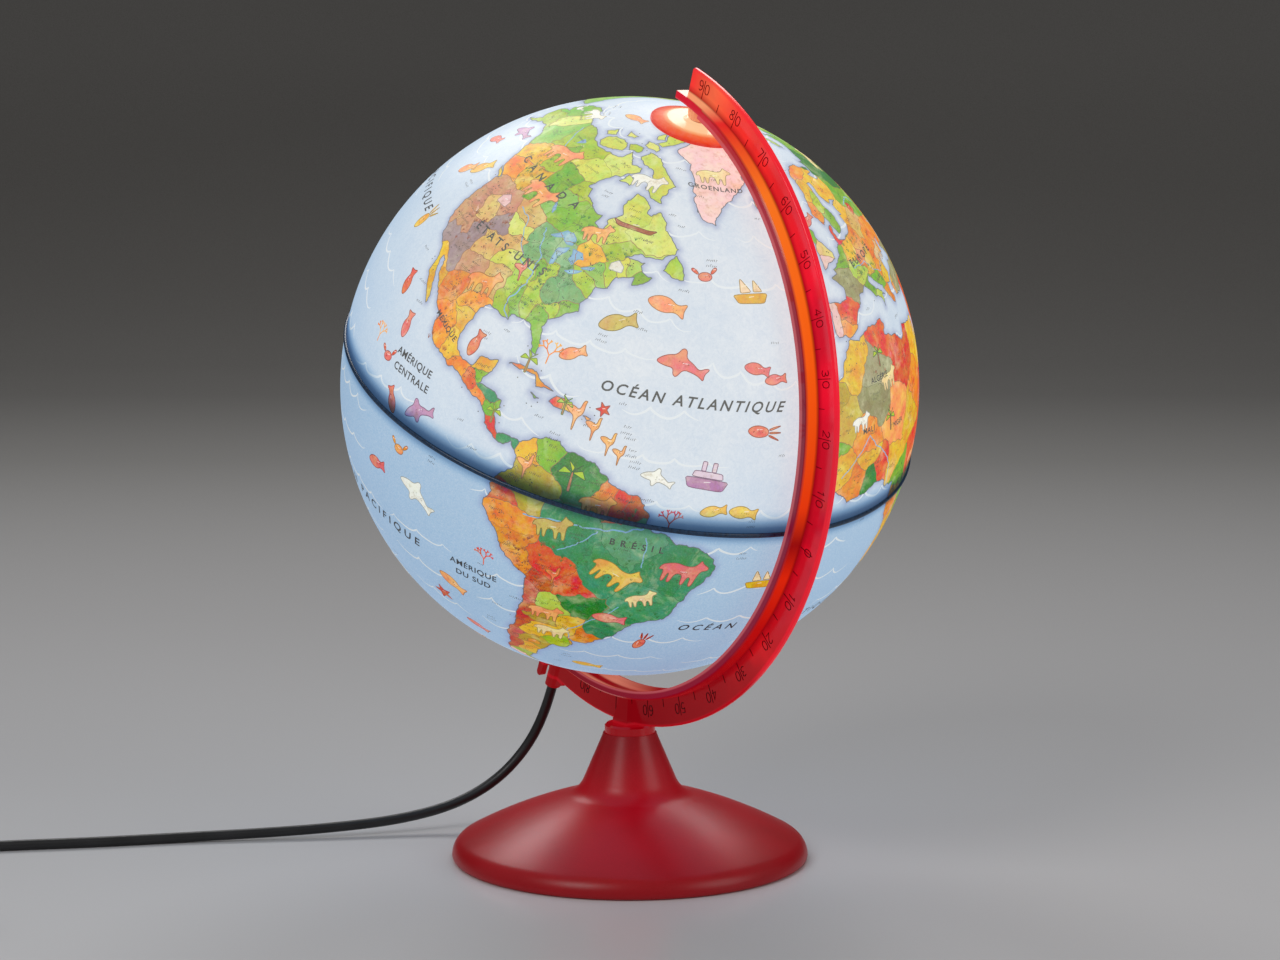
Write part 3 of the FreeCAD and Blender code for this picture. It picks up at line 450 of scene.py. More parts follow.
        """39.5,-8.2,i 40.5,-3.5,r 37.5,-5,o 46.5,2.5,k 51.2,5.2,g 51,10.5,y 47,11,l 42.7,12.8,g 40.5,15.8,l
        52,19.5,o 49.5,15.5,r 47,20,y 45.8,25,o 43.5,19,g 42.5,25,y 39.5,22,o 49,32,o 53.5,28,n 56.5,25,y 61,8,o
        66,14,y 69.5,20,o 62,15,l 58,14,g 63.5,27,y 56,9,r 57,40,g 62,52,d 64,70,g 62,90,l 68,105,g 62,118,d
        64,140,l 66,165,g 48,67,o 39,35,k 32.5,54,g 33,43.5,y 24,45,y 15.5,47,r 33.5,37.5,r 29,68,l 24,77,o
        16,78,a 35,90,j 32,105,y 28,113,y 41,83,y 45,122,y 46.5,104,r 37,127.5,i 16,101,g 21,96,y 18,105,r
        3.8,102.3,o 34,66,r 41,63,l 38,59,e 45,133,g 51,110,g 12,107,e 28,84,r"""),
    "greenland": ("""83.5,-33 82,-22 80,-17 76.5,-19 73.5,-21 70.3,-23 68,-30 66,-36 63,-42 60,-43.5 61,-48
        64,-52 67,-54 69.5,-54 71.5,-55 74.5,-57.5 76,-66 77.2,-71 79,-67 81,-63 82.3,-50""", "72,-40,i"),
    "baffin": ("""73.7,-85 73.5,-79 71.5,-72 69.5,-67.5 66.8,-62 65.2,-64 63.5,-65.5 62,-66 62.5,-71 64.5,-75
        65.5,-73.5 67.5,-73 69.5,-77 70,-83 71.5,-88""", "68,-70,p"),
    "victoria": ("73,-115 73,-105 70.5,-100.5 69,-105 69,-114 70,-117 71.5,-118", "71,-110,p"),
    "banks": ("74.5,-122 73.5,-116.5 71.5,-121 72,-125", "73,-120,p"),
    "ellesmere": ("83,-72 82,-62 79,-74 76.5,-80 76.5,-89 79,-86 81,-91 82,-85", "79,-80,p"),
    "devon": ("76.3,-95 75.7,-81 74.6,-81 74.8,-92", "75.3,-88,p"),
    "somerset": ("74,-97 73.8,-91 72,-92 71.5,-98 73,-102", "73,-97,l"),
    "melville": ("76,-115 76,-106 75,-105 74.6,-112", "75.5,-110,p"),
    "axel": ("81,-95 79,-88 78,-92 79,-97", "79.5,-93,p"),
    "southampton": ("66,-85.5 65,-81 63.3,-82 63.7,-87", "64.5,-84,p"),
    "newfoundland": ("51.5,-55.6 49.5,-53.6 47,-52.9 46.9,-55.8 47.7,-59.2 49.5,-57.8", "48.5,-56,l"),
    "vancouver": ("50.8,-128 49.5,-124.5 48.4,-123.6 49.6,-126.8", "49.6,-126,y"),
    "cuba": ("23.1,-82.5 22.8,-79.5 21,-76.5 20.2,-74.3 19.9,-77.6 21.6,-78.5 22.2,-82 21.9,-84.8", "21,-79,o"),
    "hispaniola": ("19.9,-73 19.6,-70 18.6,-68.4 17.9,-71 18.3,-74.3", "19,-72.5,r 19,-70,y"),
    "jamaica": ("18.6,-78.3 18.2,-76.3 17.7,-77.3", "18,-77,g"),
    "puerto_rico": ("18.6,-67.2 18.5,-65.6 17.9,-66.3", "18.2,-66.5,o"),
    "iceland": ("66.3,-23 66.4,-16 64.9,-13.7 63.4,-19 64,-22.5 65.2,-24", "65,-18,n"),
    "britain": ("""58.6,-4 57.6,-2 55.8,-2 53.5,0.2 52.7,1.7 51.2,1.2 50.2,-5 51.6,-4.5 53.3,-4.4 54.8,-3.2
        56,-5.5 58,-5.5""", "53,-1.5,j 57,-4,g 51,-2,i"),
    "ireland": ("55.2,-7 54,-5.8 52.2,-6.5 51.6,-9.5 54.2,-9.8", "53,-8,g"),
    "svalbard": ("80.3,15 80,25 77,17", "79,18,z"),
    "novaya": ("76.5,67 73,57 70.7,54 72,52 75,57", "73,56,l"),
    "madagascar": ("-12,49.3 -16,50.3 -25,47 -25,44 -20,44.4 -16,45", "-19,47,l"),
    "australia": ("""-11,142.5 -14.5,144 -19,147 -24,151.8 -28,153.6 -33,152 -37.5,150 -39,146.3 -38,141
        -35,138 -35,136 -32,133 -32,128 -34,123 -35,118 -34,115 -28,114 -22,114 -20,119 -17,122.5 -14,127
        -12,131 -12.3,136.5 -15,135.7 -17.5,139.5 -16,141.5""",
        "-25,121,a -20,133,o -29,134,y -22,145,r -32,147,g -37,144,l"),
    "tasmania": ("-40.7,145 -40.8,148 -43.5,147", "-42,147,g"),
    "new_guinea": ("-0.8,132 -2.5,138 -3.5,144.5 -7,147.5 -10.3,150 -8,144.5 -8.5,139 -4,134", "-4,137,g -6,144,o"),
    "borneo": ("7,117 5,119 1,118 -4,116 -3,111 1.5,109.3 4,113.5", "4,115,l 0,113,g"),
    "sumatra": ("5.5,95.5 2,100 -3,106 -6,105 -1,100 3,97", "0,101,g"),
    "java": ("-6,105.8 -7,112 -8.3,114 -7.5,108", "-7,110,r"),
    "sulawesi": ("1.3,124.5 0.3,120.3 -3,121 -5.3,120 -3.3,119 0.7,120", "-2,120,e"),
    "luzon": ("18.5,121.5 14,124 13.7,120.8 16,120", "16,121,y"),
    "mindanao": ("9.5,125.8 6,125.8 7,122 8.5,123.5", "8,125,o"),
    "honshu": ("41.3,141.2 38,141.5 35.2,140.6 34,136 33.8,131 35.5,133.5 37,137 39.5,140", "36,138,r"),
    "hokkaido": ("45.4,141.8 43.3,145.5 41.8,141", "43,143,r"),
    "taiwan": ("25.2,121.5 22,121 23.5,120.2", "24,121,g"),
    "sri_lanka": ("9.6,80.2 7,81.8 6,80.5 8,79.8", "7.5,80.8,g"),
    "new_zealand_north": ("-34.5,173 -37.8,178.3 -41.4,175.3 -39.2,174", "-38,176,l"),
    "new_zealand_south": ("-40.6,173 -43.5,172.8 -46.5,169 -45.5,166.7 -42.5,171.5", "-44,170,g"),
    "kyushu": ("33.8,130.8 31.2,130.6 32.5,132", "32.5,131,r"),
    "antarctica": ("""-64,-58 -68,-64 -73,-62 -77,-50 -76,-30 -72,-14 -70,5 -69,25 -67,45 -66,60 -69,75 -66,90
        -66,110 -67,130 -69,155 -72,170 -78,170 -79,190 -77,205 -74,225 -74,255 -72,270 -69,288""", "-85,90,z"),
    "great_lake_superior": ("""48.7,-88.6 48.8,-86.6 47.9,-84.8 46.6,-84.8 46.5,-86.5 46.9,-87.7 47.4,-88.2
        46.7,-90.5 46.7,-92 47.6,-90.6 48.3,-89.3""", "47.6,-87,w"),
    "great_lake_michigan": ("46.1,-85 45.2,-85.3 43.8,-86.5 42,-86.6 41.7,-87.5 43.3,-87.9 45.2,-87.5", "44,-87,w"),
    "great_lake_huron": ("46.1,-83.8 46,-81.2 44.9,-80.1 44.6,-81.3 43.1,-82.2 44,-83.6 45.2,-83.3", "45,-82.5,w"),
    "great_lake_erie": ("42.9,-78.9 42.3,-81.8 41.5,-83.2 41.6,-81.6 42.2,-79.9", "42.2,-81,w"),
    "great_lake_ontario": ("44.2,-76.4 43.9,-78.4 43.3,-79.6 43.4,-77.2", "43.6,-78,w"),
    "lake_winnipeg": ("53.8,-98.8 51.5,-96.5 50.5,-96.8 52.5,-98.3", "52,-97,w"),
    "great_slave": ("62.8,-116.5 62.7,-110 61.2,-114.5", "62,-113,w"),
    "great_bear": ("66.8,-122 66.5,-118 65,-121", "66,-120,w"),
    "caspian": ("47,50 45,53 41,53.5 37,53.5 37,49.5 41,49.5 43.5,47.8 46,48.5", "42,51,w"),
    "aral": ("46.5,60 45,61 44,59", "45,60,w"),
    "victoria_lake": ("0.4,32 0,34.3 -2.5,33 -2.3,31.8", "-1,33,w"),
    "baikal": ("55.6,109.8 52,106.5 51.5,104 53.5,107.5", "53,107,w"),
}
RIVERS = [
    ("47.5,-95 45,-93 41.5,-91 38.5,-90.3 36,-89.6 33,-91.2 31,-91.5 29.3,-89.6", 0.55),
    ("48,-106 47,-101 43.5,-99 41,-96 39,-94.5 38.7,-90.5", 0.4),
    ("-4.3,-73 -3.6,-69 -3,-65 -3.3,-60 -2.3,-56 -1.5,-52.5 -0.5,-50.5", 0.7),
    ("-10,-65.5 -8,-63 -5.5,-60.5 -3.5,-58.8", 0.45), ("-9.5,-49 -6,-49 -2,-49.5", 0.45),
    ("-20,-51 -24,-54 -27.5,-57 -31,-60 -34,-58.5", 0.45), ("67.5,-134 64,-125 61.5,-121 61.2,-116", 0.45),
    ("31.3,30 27,31.5 22,31.5 18,33 15.5,32.5 10,31.5 5,31.5 0.5,32.5", 0.5),
    ("-6,12.5 -4,16 0.5,18 2,22 0,25 -5,27", 0.55), ("10,-10 14,-5 17,-2 13,3 9,6 4.5,6", 0.45),
    ("57,35 56,44 53,49 49,45 46,48", 0.5), ("48,9 48,16 45.5,19 44,24 45.2,29", 0.4),
    ("66,66 61,69 55,73", 0.5), ("71,83 62,90 54,93", 0.5), ("71,127 63,127 58,115", 0.5),
    ("31.5,121 30,112 29.5,106 32,97", 0.5), ("24,89 26,82 30,78", 0.4),
]


def direction(lat, lon):
    """Unit vector in the globe's polar frame."""
    la, lo = math.radians(lat), math.radians(lon - LON_AT_ARM)
    return Vector((math.cos(la) * math.cos(lo), math.cos(la) * math.sin(lo), math.sin(la)))


class Flat:
    """Azimuthal plane, in degrees, about a centre direction."""

    def __init__(self, centre):
        self.c = centre.normalized()
        side = Vector((0, 0, 1)) if abs(self.c.z) < 0.9999 else Vector((1, 0, 0))
        self.east = side.cross(self.c).normalized()
        self.north = self.c.cross(self.east)

    def down(self, d):
        away = math.degrees(self.c.angle(d))
        flat = d - self.c * d.dot(self.c)
        if flat.length < 1e-9:
            return Vector((0, 0))
        flat.normalize()
        return Vector((flat.dot(self.east), flat.dot(self.north))) * away

    def up(self, p):
        away = math.radians(math.hypot(p[0], p[1]))
        if away < 1e-9:
            return self.c.copy()
        flat = (self.east * p[0] + self.north * p[1]).normalized()
        return self.c * math.cos(away) + flat * math.sin(away)


def wander(d, amount=1.0):
    """Moves a direction a little, so that straight borders get a natural line."""
    big = noise.noise_vector(d * 9.0 + Vector((3.1, 0, 0)))
    small = noise.noise_vector(d * 34.0)
    fine = noise.noise_vector(d * 95.0)
    rough = noise.noise_vector(d * 210.0)
    return (d + (big * 0.012 + small * 0.0085 + fine * 0.0042 + rough * 0.0016) * amount).normalized()


def warp(p):
    """Bends the plane, so that the borders between areas aren't straight."""
    q = Vector((p[0], p[1], 4.0))
    shift = noise.noise_vector(q * 0.16) * 1.7 + noise.noise_vector(q * 0.6) * 0.6
    return Vector((p[0] + shift.x, p[1] + shift.y))


def unwarp(p):
    """The point that warp moves to p, by repeated correction."""
    q = p.copy()
    for _ in range(6):
        q = p - (warp(q) - q)
    return q


def inside(points, outline):
    """Whether each point is inside the outline, as an array."""
    p = np.array([tuple(v) for v in points])
    a = np.array([tuple(v) for v in outline])
    b = np.roll(a, -1, axis=0)
    rise = np.where(b[:, 1] == a[:, 1], 1e-12, b[:, 1] - a[:, 1])
    result = []
    for x, y in p:
        crosses = (a[:, 1] > y) != (b[:, 1] > y)
        result.append(bool(np.count_nonzero(crosses & (x < (b[:, 0] - a[:, 0]) * (y - a[:, 1]) / rise + a[:, 0])) % 2))
    return result


def split(a, b, step):
    """Points from a up to, but not at, b, at most a step apart."""
    count = max(1, math.ceil((b - a).length / step))
    return [a + (b - a) * (i / count) for i in range(count)]


def bisector_pieces(seeds, reach, step):
    """Edges between the areas nearest to each seed, as lists of short runs."""
    runs = []
    for i in range(len(seeds)):
        for j in range(i + 1, len(seeds)):
            a, b = seeds[i], seeds[j]
            if (a - b).length > reach:
                continue
            mid, along = (a + b) / 2, Vector((a.y - b.y, b.x - a.x)).normalized()
            low, high = -reach, reach
            for k, c in enumerate(seeds):
                if k in (i, j):
                    continue
                # Points mid + t*along that are nearer to a than to c.
                slope = 2 * along.dot(c - a)
                limit = c.length_squared - a.length_squared - 2 * mid.dot(c - a)
                if abs(slope) < 1e-9:
                    if limit < 0:
                        low, high = 1, 0
                elif slope > 0:
                    high = min(high, limit / slope)
                else:
                    low = max(low, limit / slope)
                if low >= high:
                    break
            if high - low > 0.05:
                start, end = mid + along * low, mid + along * high
                runs.append(split(start, end, step) + [end])
    return runs


def parse(text):
    """Rows of latitude and longitude, each with what else its item says."""
    rows = []
    for item in text.split():
        parts = item.split(",")
        rows.append((float(parts[0]), float(parts[1])) + tuple(parts[2:]))
    return rows


class Sheet:
    """Collects thin printed patches on the sphere, with one colour each."""

    def __init__(self):
        self.verts, self.faces, self.colours = [], [], []

    def patch(self, directions, faces, lift, colours):
        start = len(self.verts)
        radius = GLOBE_R + lift * MM
        self.verts += [d * radius for d in directions]
        self.faces += [[start + i for i in face] for face in faces]
        self.colours += colours

    def ribbon(self, directions, width, lift, colour, taper=False, closed=False):
        """Strip along directions, width in millimetres."""
        count = len(directions)
        half = width * MM / GLOBE_R / 2
        sides = []
        for i, d in enumerate(directions):
            before = directions[i - 1] if i or closed else d
            after = directions[(i + 1) % count] if i < count - 1 or closed else d
            side = d.cross(after - before)
            if side.length < 1e-9:
                side = d.orthogonal()
            share = math.sin(math.pi * (i + 0.25) / (count - 0.5)) ** 0.5 if taper else 1.0
            side = side.normalized() * half * share
            sides += [(d + side).normalized(), (d - side).normalized()]
        faces = [(2 * i, 2 * i + 1, 2 * i + 3, 2 * i + 2) for i in range(count - 1)]
        if closed:
            faces.append((2 * count - 2, 2 * count - 1, 1, 0))
        self.patch(sides, faces, lift, [colour] * len(faces))

    def build(self, name, mat, slot):
        colours = np.ones((len(self.faces), 4), dtype=np.float32)
        for row, ink in enumerate(self.colours):
            colours[row] = INK_LINEAR[ink] if isinstance(ink, str) else ink
        loops = np.repeat(colours, [len(f) for f in self.faces], axis=0).ravel()
        return piece(name, self.verts, self.faces, mat, "globe", matrix=POLAR, angle=0,
                     attrs={"ink": ("FLOAT_COLOR", "CORNER", loops)})


INK_LINEAR = {key: srgb(*value) for key, value in INKS.items()}
COAST_LINE, SHORE_LINE = (0.12, 0.13, 0.16, 1), (0.16, 0.32, 0.55, 1)
RIVER_LINE, BORDER_LINE, RIDGE_INK = (0.16, 0.36, 0.62, 1), (0.3, 0.13, 0.06, 1), (0.25, 0.12, 0.07, 1)
LETTER_INK, STROKE_INK, TOWN_INK = (0.035, 0.035, 0.04, 1), (0.05, 0.04, 0.04, 1), (0.03, 0.025, 0.02, 1)
# How far each kind of print stands off the shell, in millimetres: what lies on top stands further off.
LIFT = {"wave": 0.02, "land": 0.09, "lake": 0.12, "river": 0.125, "border": 0.13, "coast": 0.14, "ridge": 0.145,
        "small": 0.15, "drawing": 0.155, "coral": 0.16, "glint": 0.175, "fleck": 0.18, "outline": 0.185,
        "letters": 0.2}


def tint(ink, amount):
    """An ink made lighter (amount over 0) or darker (under 0)."""
    r, g, b, _ = INK_LINEAR[ink]
    if amount > 0:
        return (r + (1 - r) * amount, g + (1 - g) * amount, b + (1 - b) * amount, 1.0)
    return (r * (1 + amount), g * (1 + amount), b * (1 + amount), 1.0)


def staggered(low, high):
    """Grid of points inside a box, every other column moved by half a step."""
    grid, row, x = [], 0, low.x
    while x < high.x:
        y = low.y + (0.7 if row % 2 else 0.0)
        while y < high.y:
            grid.append(Vector((x, y)))
            y += 1.4
        x += 1.25
        row += 1
    return grid


def draw_land(name, outline_text, seed_text, sheet, lines, coast):
    """Adds one land: its coloured parts to sheet, its borders and coast to lines, coast points to coast."""
    outline = [direction(*p) for p in parse(outline_text)]
    centre = Vector((0, 0, -1)) if name == "antarctica" else sum(outline, Vector((0, 0, 0)))
    flat = Flat(centre)
    ring = []
    corners = [flat.down(d) for d in outline]
    for a, b in zip(corners, corners[1:] + corners[:1]):
        ring += split(a, b, 0.42)
    seeds = parse(seed_text)
    inks = [s[2] for s in seeds]
    bent = [warp(flat.down(direction(s[0], s[1]))) for s in seeds]
    points = list(ring)
    edges = [(i, (i + 1) % len(ring)) for i in range(len(ring))]
    for run in bisector_pieces(bent, 60.0, 0.5):
        start = len(points)
        points += [unwarp(p) for p in run]
        edges += [(start + i, start + i + 1) for i in range(len(run) - 1)]
    low = Vector((min(p.x for p in ring), min(p.y for p in ring)))
    high = Vector((max(p.x for p in ring), max(p.y for p in ring)))
    grid = staggered(low, high)
    points += [p for p, ok in zip(grid, inside(grid, ring)) if ok]
    verts, _, tris = geometry.delaunay_2d_cdt(points, edges, [], 0, 1e-4)[:3]
    middles = [(verts[t[0]] + verts[t[1]] + verts[t[2]]) / 3 for t in tris]
    keep, owner = [], []
    for tri, middle, ok in zip(tris, middles, inside(middles, ring)):
        if ok:
            place = warp(middle)
            keep.append(tuple(tri))
            owner.append(min(range(len(bent)), key=lambda k: (bent[k] - place).length_squared))
    water = inks[0] == "w"
    placed = [wander(flat.up(v), 0.45 if water else 1.0) for v in verts]
    rng = random.Random(name)
    shade = [tint(ink, rng.uniform(-0.14, 0.1)) for ink in inks]
    sheet.patch(placed, keep, LIFT["lake" if water else "land"], [shade[o] for o in owner])
    # Borders and coast, from the edges between kept triangles.
    owners_of = {}
    for (i, j, k), own in zip(keep, owner):
        for a, b in ((i, j), (j, k), (k, i)):
            owners_of.setdefault((min(a, b), max(a, b)), []).append(own)
    for (a, b), owners in owners_of.items():
        pair = [placed[a], placed[b]]
        if len(owners) == 1:
            lines.ribbon(pair, 0.36, LIFT["coast"], SHORE_LINE if water else COAST_LINE)
            if not water:
                coast.extend(pair)
        elif owners[0] != owners[1]:
            same = inks[owners[0]] == inks[owners[1]]
            ink = tint(inks[owners[0]], -0.5) if same else BORDER_LINE
            lines.ribbon(pair, 0.2 if same else 0.26, LIFT["border"], ink)


# Small generic drawings, each a closed outline on a 10 mm square, x to the east and y to the north.
DRAWINGS = {
    "fish": [[(-5, 0), (-2.5, 1.9), (0.5, 2.1), (2.6, 0.7), (5, 2.3), (4.3, 0), (5, -2.2), (2.6, -0.7), (0, -2),
              (-3, -1.6)]],
    "whale": [[(-5.8, -0.4), (-5.0, 0.7), (-3.4, 1.7), (-1.6, 2.1), (-0.7, 3.9), (0.4, 3.6), (0.5, 1.9),
               (2.4, 1.1), (3.9, 0.0), (5.2, 0.9), (6.3, 1.0), (5.2, -0.4), (5.4, -2.0), (4.2, -1.2), (2.6, -0.8),
               (0.4, -0.6), (-0.6, -2.7), (-1.5, -2.3), (-1.7, -0.8), (-3.6, -0.9)]],
    "ship": [[(-5, 0), (5, 0.4), (3.8, -2.4), (-3.6, -2.4)], [(-2.8, 0.4), (-2.4, 4.6), (0.4, 0.7)],
             [(0.9, 0.7), (1.3, 4.2), (3.6, 0.8)]],
    "steamer": [[(-5, 0), (5, 0), (4, -2.4), (-4, -2.4)], [(-3.6, 0.2), (3.6, 0.2), (3.2, 1.6), (-3.2, 1.6)],
                [(-1.8, 1.7), (-0.8, 1.7), (-0.8, 3.8), (-1.8, 3.8)], [(0.6, 1.7), (1.6, 1.7), (1.6, 3.8), (0.6, 3.8)]],
    "crab": [[(-2.6, 0), (-1.4, 1.5), (1.4, 1.5), (2.6, 0), (1.4, -1.6), (-1.4, -1.6)],
             [(-2.4, 0.6), (-4.6, 2.6), (-3.6, 3.4), (-1.9, 1.4)], [(2.4, 0.6), (4.6, 2.6), (3.6, 3.4), (1.9, 1.4)]],
    "squid": [[(-5, 0), (-2.6, 1.6), (1, 1), (1, -1), (-2.6, -1.6)], [(1, 0.9), (5, 2.2), (1.2, 0.3)],
              [(1.2, 0.2), (5.4, 0.3), (1.2, -0.4)], [(1.2, -0.4), (5, -2), (1, -1)]],
    "beast": [[(-4, 1.7), (-2, 2.3), (0.2, 1.8), (2, 2.1), (2.7, 3.1), (3.2, 4.2), (3.7, 3.3), (5.4, 2.6), (5.3, 1.7),
               (3.9, 1.3), (3.5, -0.6), (3.4, -3.4), (2.5, -3.4), (2.4, -1.0), (1.5, -0.9), (1.3, -3.4), (0.5, -3.4),
               (0.3, -0.5), (-1.6, -0.5), (-1.9, -3.4), (-2.7, -3.4), (-2.8, -1.0), (-3.2, -0.8), (-3.4, -3.4),
               (-4.2, -3.4), (-4.3, 0), (-5.6, -0.6), (-5.2, 1.0)]],
    "bird": [[(-3.6, 2.2), (-1.2, 2.8), (1, 1.6), (1.4, 4.8), (2.6, 4.9), (2.2, 4.2), (2.2, 0.8), (0.6, -0.4),
              (0.3, -4.4), (-0.1, -4.4), (-0.2, -0.2), (-2, 0.5)]],
    "palm": [[(-0.4, -4), (0.5, -4), (0.4, 1.6), (-0.2, 1.6)], [(0, 1.3), (-3.8, 0.4), (-2.4, 2.6)],
             [(0, 1.4), (3.9, 0.2), (2.6, 2.6)], [(0, 1.5), (-1.6, 4.6), (0.4, 3)], [(0, 1.5), (2.6, 4.4), (0.6, 2.4)]],
    "house": [[(-3, -2), (3, -2), (3, 1), (0, 3.4), (-3, 1)]],
    "boat": [[(-5, 0.8), (-3.8, -0.8), (3.8, -0.8), (5, 0.8), (3, 0.2), (-3, 0.2)]],
    "star": [[(math.cos(math.radians(36 * i)) * (4.2 if i % 2 else 1.7),
               math.sin(math.radians(36 * i)) * (4.2 if i % 2 else 1.7)) for i in range(10)]],
}
# Drawing, latitude, longitude, size in millimetres, turn in degrees, ink.
PLACES = """
    whale,31,-50,12,-6,u ship,46,-34,10,4,y steamer,11,-41,12,-4,v whale,9.6,-50.5,8,-8,z
    crab,48.5,-47,8,10,u fish,41.5,-56,11,-8,a
    fish,36,-66,11,24,e bird,17.5,-68.5,9,0,a bird,16,-64.5,7,0,a bird,14,-61,7,0,a bird,12.5,-58.5,6,0,a
    fish,4.8,-38.5,8,12,y fish,4.8,-32.5,9,-6,y squid,20.5,-30.5,11,-4,r fish,32,-33,8,-10,u fish,30.2,-28.5,7,8,u
    whale,4.5,-100,10,30,v fish,3,-108,8,120,u crab,9.5,-113.5,8,10,u fish,23,-119,8,100,r fish,17,-112,8,95,u
    squid,33,-131,11,70,y fish,47,-134,9,60,y fish,44,-139,8,50,a fish,50,-150,8,30,u whale,56,-146,9,20,v
    beast,52.5,-106,11,-14,a beast,61.5,-117,11,8,a beast,32.5,-99.5,10,10,o house,47,-113,7,0,i
    bird,38,-93,7,20,u house,46,-71,6,0,z boat,55,-71,12,0,s beast,66,-75,9,0,z beast,51,-80.5,8,12,a
    beast,72,-42,9,0,j crab,66,-163,6,0,z fish,78,-140,8,40,a beast,70,-150,8,10,z palm,23.5,-81,7,0,l
    palm,18.5,-71,6,0,g palm,12,-84,6,0,l fish,22,-93.5,8,80,r fish,28,-73,8,30,a star,20,-63.5,5,10,u
    beast,-9,-41,12,-8,u beast,-12,-53.5,13,-28,y beast,-17,-47,8,20,j fish,-24,-52,10,0,u beast,-5,-67,10,6,e
    beast,-27,-65,9,0,a beast,-33,-63,9,0,j house,-40,-67,6,0,a bird,5,-75,8,0,a palm,6,-66,10,0,d
    beast,2,-60,9,0,o bird,-16,-65,7,0,o squid,-30,-43,10,80,r fish,-46,-52,9,-4,y whale,-12,-97,12,-20,z
    star,-36,-92,8,0,u crab,-5,-103,8,0,a fish,-30,-88,10,-30,a fish,-44,-84,8,-30,u fish,-12,-110,9,10,u
    whale,-19,-12,11,0,v ship,-11,-24,9,0,y fish,-2,-18,8,0,y crab,-33,-12,8,0,u fish,-40,0,9,0,a
    beast,26,7,8,0,j palm,31,4,7,0,d beast,20,-5,7,0,z palm,18,6,7,0,d beast,5,22,9,0,a beast,-8,20,9,0,e
    beast,-20,24,9,0,a beast,0,38,8,0,e beast,46,30,8,0,n house,55,37,7,0,r beast,62,62,10,0,j beast,58,95,10,0,a
    beast,64,130,10,0,j beast,46,100,9,0,j beast,33,88,9,0,z beast,27,78,8,0,k bird,33,112,8,0,u
    palm,16,101,7,0,d beast,-24,134,10,0,s beast,-22,122,8,0,e palm,-4,140,7,0,d whale,-10,75,13,10,v
    ship,-25,80,11,0,y fish,5,65,9,20,a fish,15,63,8,0,y squid,-35,100,11,0,r crab,-45,120,8,0,u
    whale,25,160,13,0,v steamer,43,172,12,0,u fish,10,150,9,0,y fish,-5,175,9,20,a squid,-20,-170,11,30,r
    star,0,-150,8,0,y fish,-30,-140,10,0,u ship,15,-165,11,0,y whale,-45,-120,13,0,z crab,-55,-90,8,0,a
    fish,60,0,6,30,u fish,72,5,7,20,a ship,-55,20,10,0,y whale,-62,60,11,0,v fish,-60,-160,9,0,a
    coral,27,-77.5,9,0,a coral,2.2,-46.2,9,0,u coral,-17.5,-79.5,8,0,u coral,12,-119,8,0,a coral,-20,155,9,0,u
    coral,4,77,8,0,a coral,-15,60,9,0,u coral,20,135,8,0,a"""

DRAWING_SCALE = 1.55
CRISP = ("ship", "steamer", "house", "star", "palm", "boat")


def placer(lat, lon, size, turn):
    """Function that puts a drawing's (x, y) on the sphere."""
    flat = Flat(direction(lat, lon))
    scale = size * DRAWING_SCALE / 10
    cos, sin = math.cos(math.radians(turn)), math.sin(math.radians(turn))

    def to_sphere(x, y):
        return flat.up(((x * cos - y * sin) * scale / MM_PER_DEGREE, (x * sin + y * cos) * scale / MM_PER_DEGREE))

    return to_sphere


def draw_coral(sheet, to_sphere, ink, rng):
    stack = [(0.0, -4.0, 90.0, 2.6, 0)]
    while stack:
        x, y, heading, length, depth = stack.pop()
        a = math.radians(heading)
        nx, ny = x + math.cos(a) * length, y + math.sin(a) * length
        sheet.ribbon([to_sphere(x, y), to_sphere(nx, ny)], 0.5, LIFT["coral"], tint(ink, -0.05))
        if depth < 4:
            for side in (-1, 1):
                stack.append((nx, ny, heading + side * rng.uniform(18, 42), length * 0.72, depth + 1))


def rounded(outline, pull, stops):
    """The outline with each corner made round: pull is how far the bend reaches, stops where its points are."""
    loop = [Vector(p) for p in outline]
    points = []
    for before, corner, after in zip(loop[-1:] + loop, loop, loop[1:] + loop[:1]):
        a, b = corner.lerp(before, pull), corner.lerp(after, pull)
        points += [a * (1 - t) ** 2 + corner * (2 * t * (1 - t)) + b * t ** 2 for t in stops]
    return points


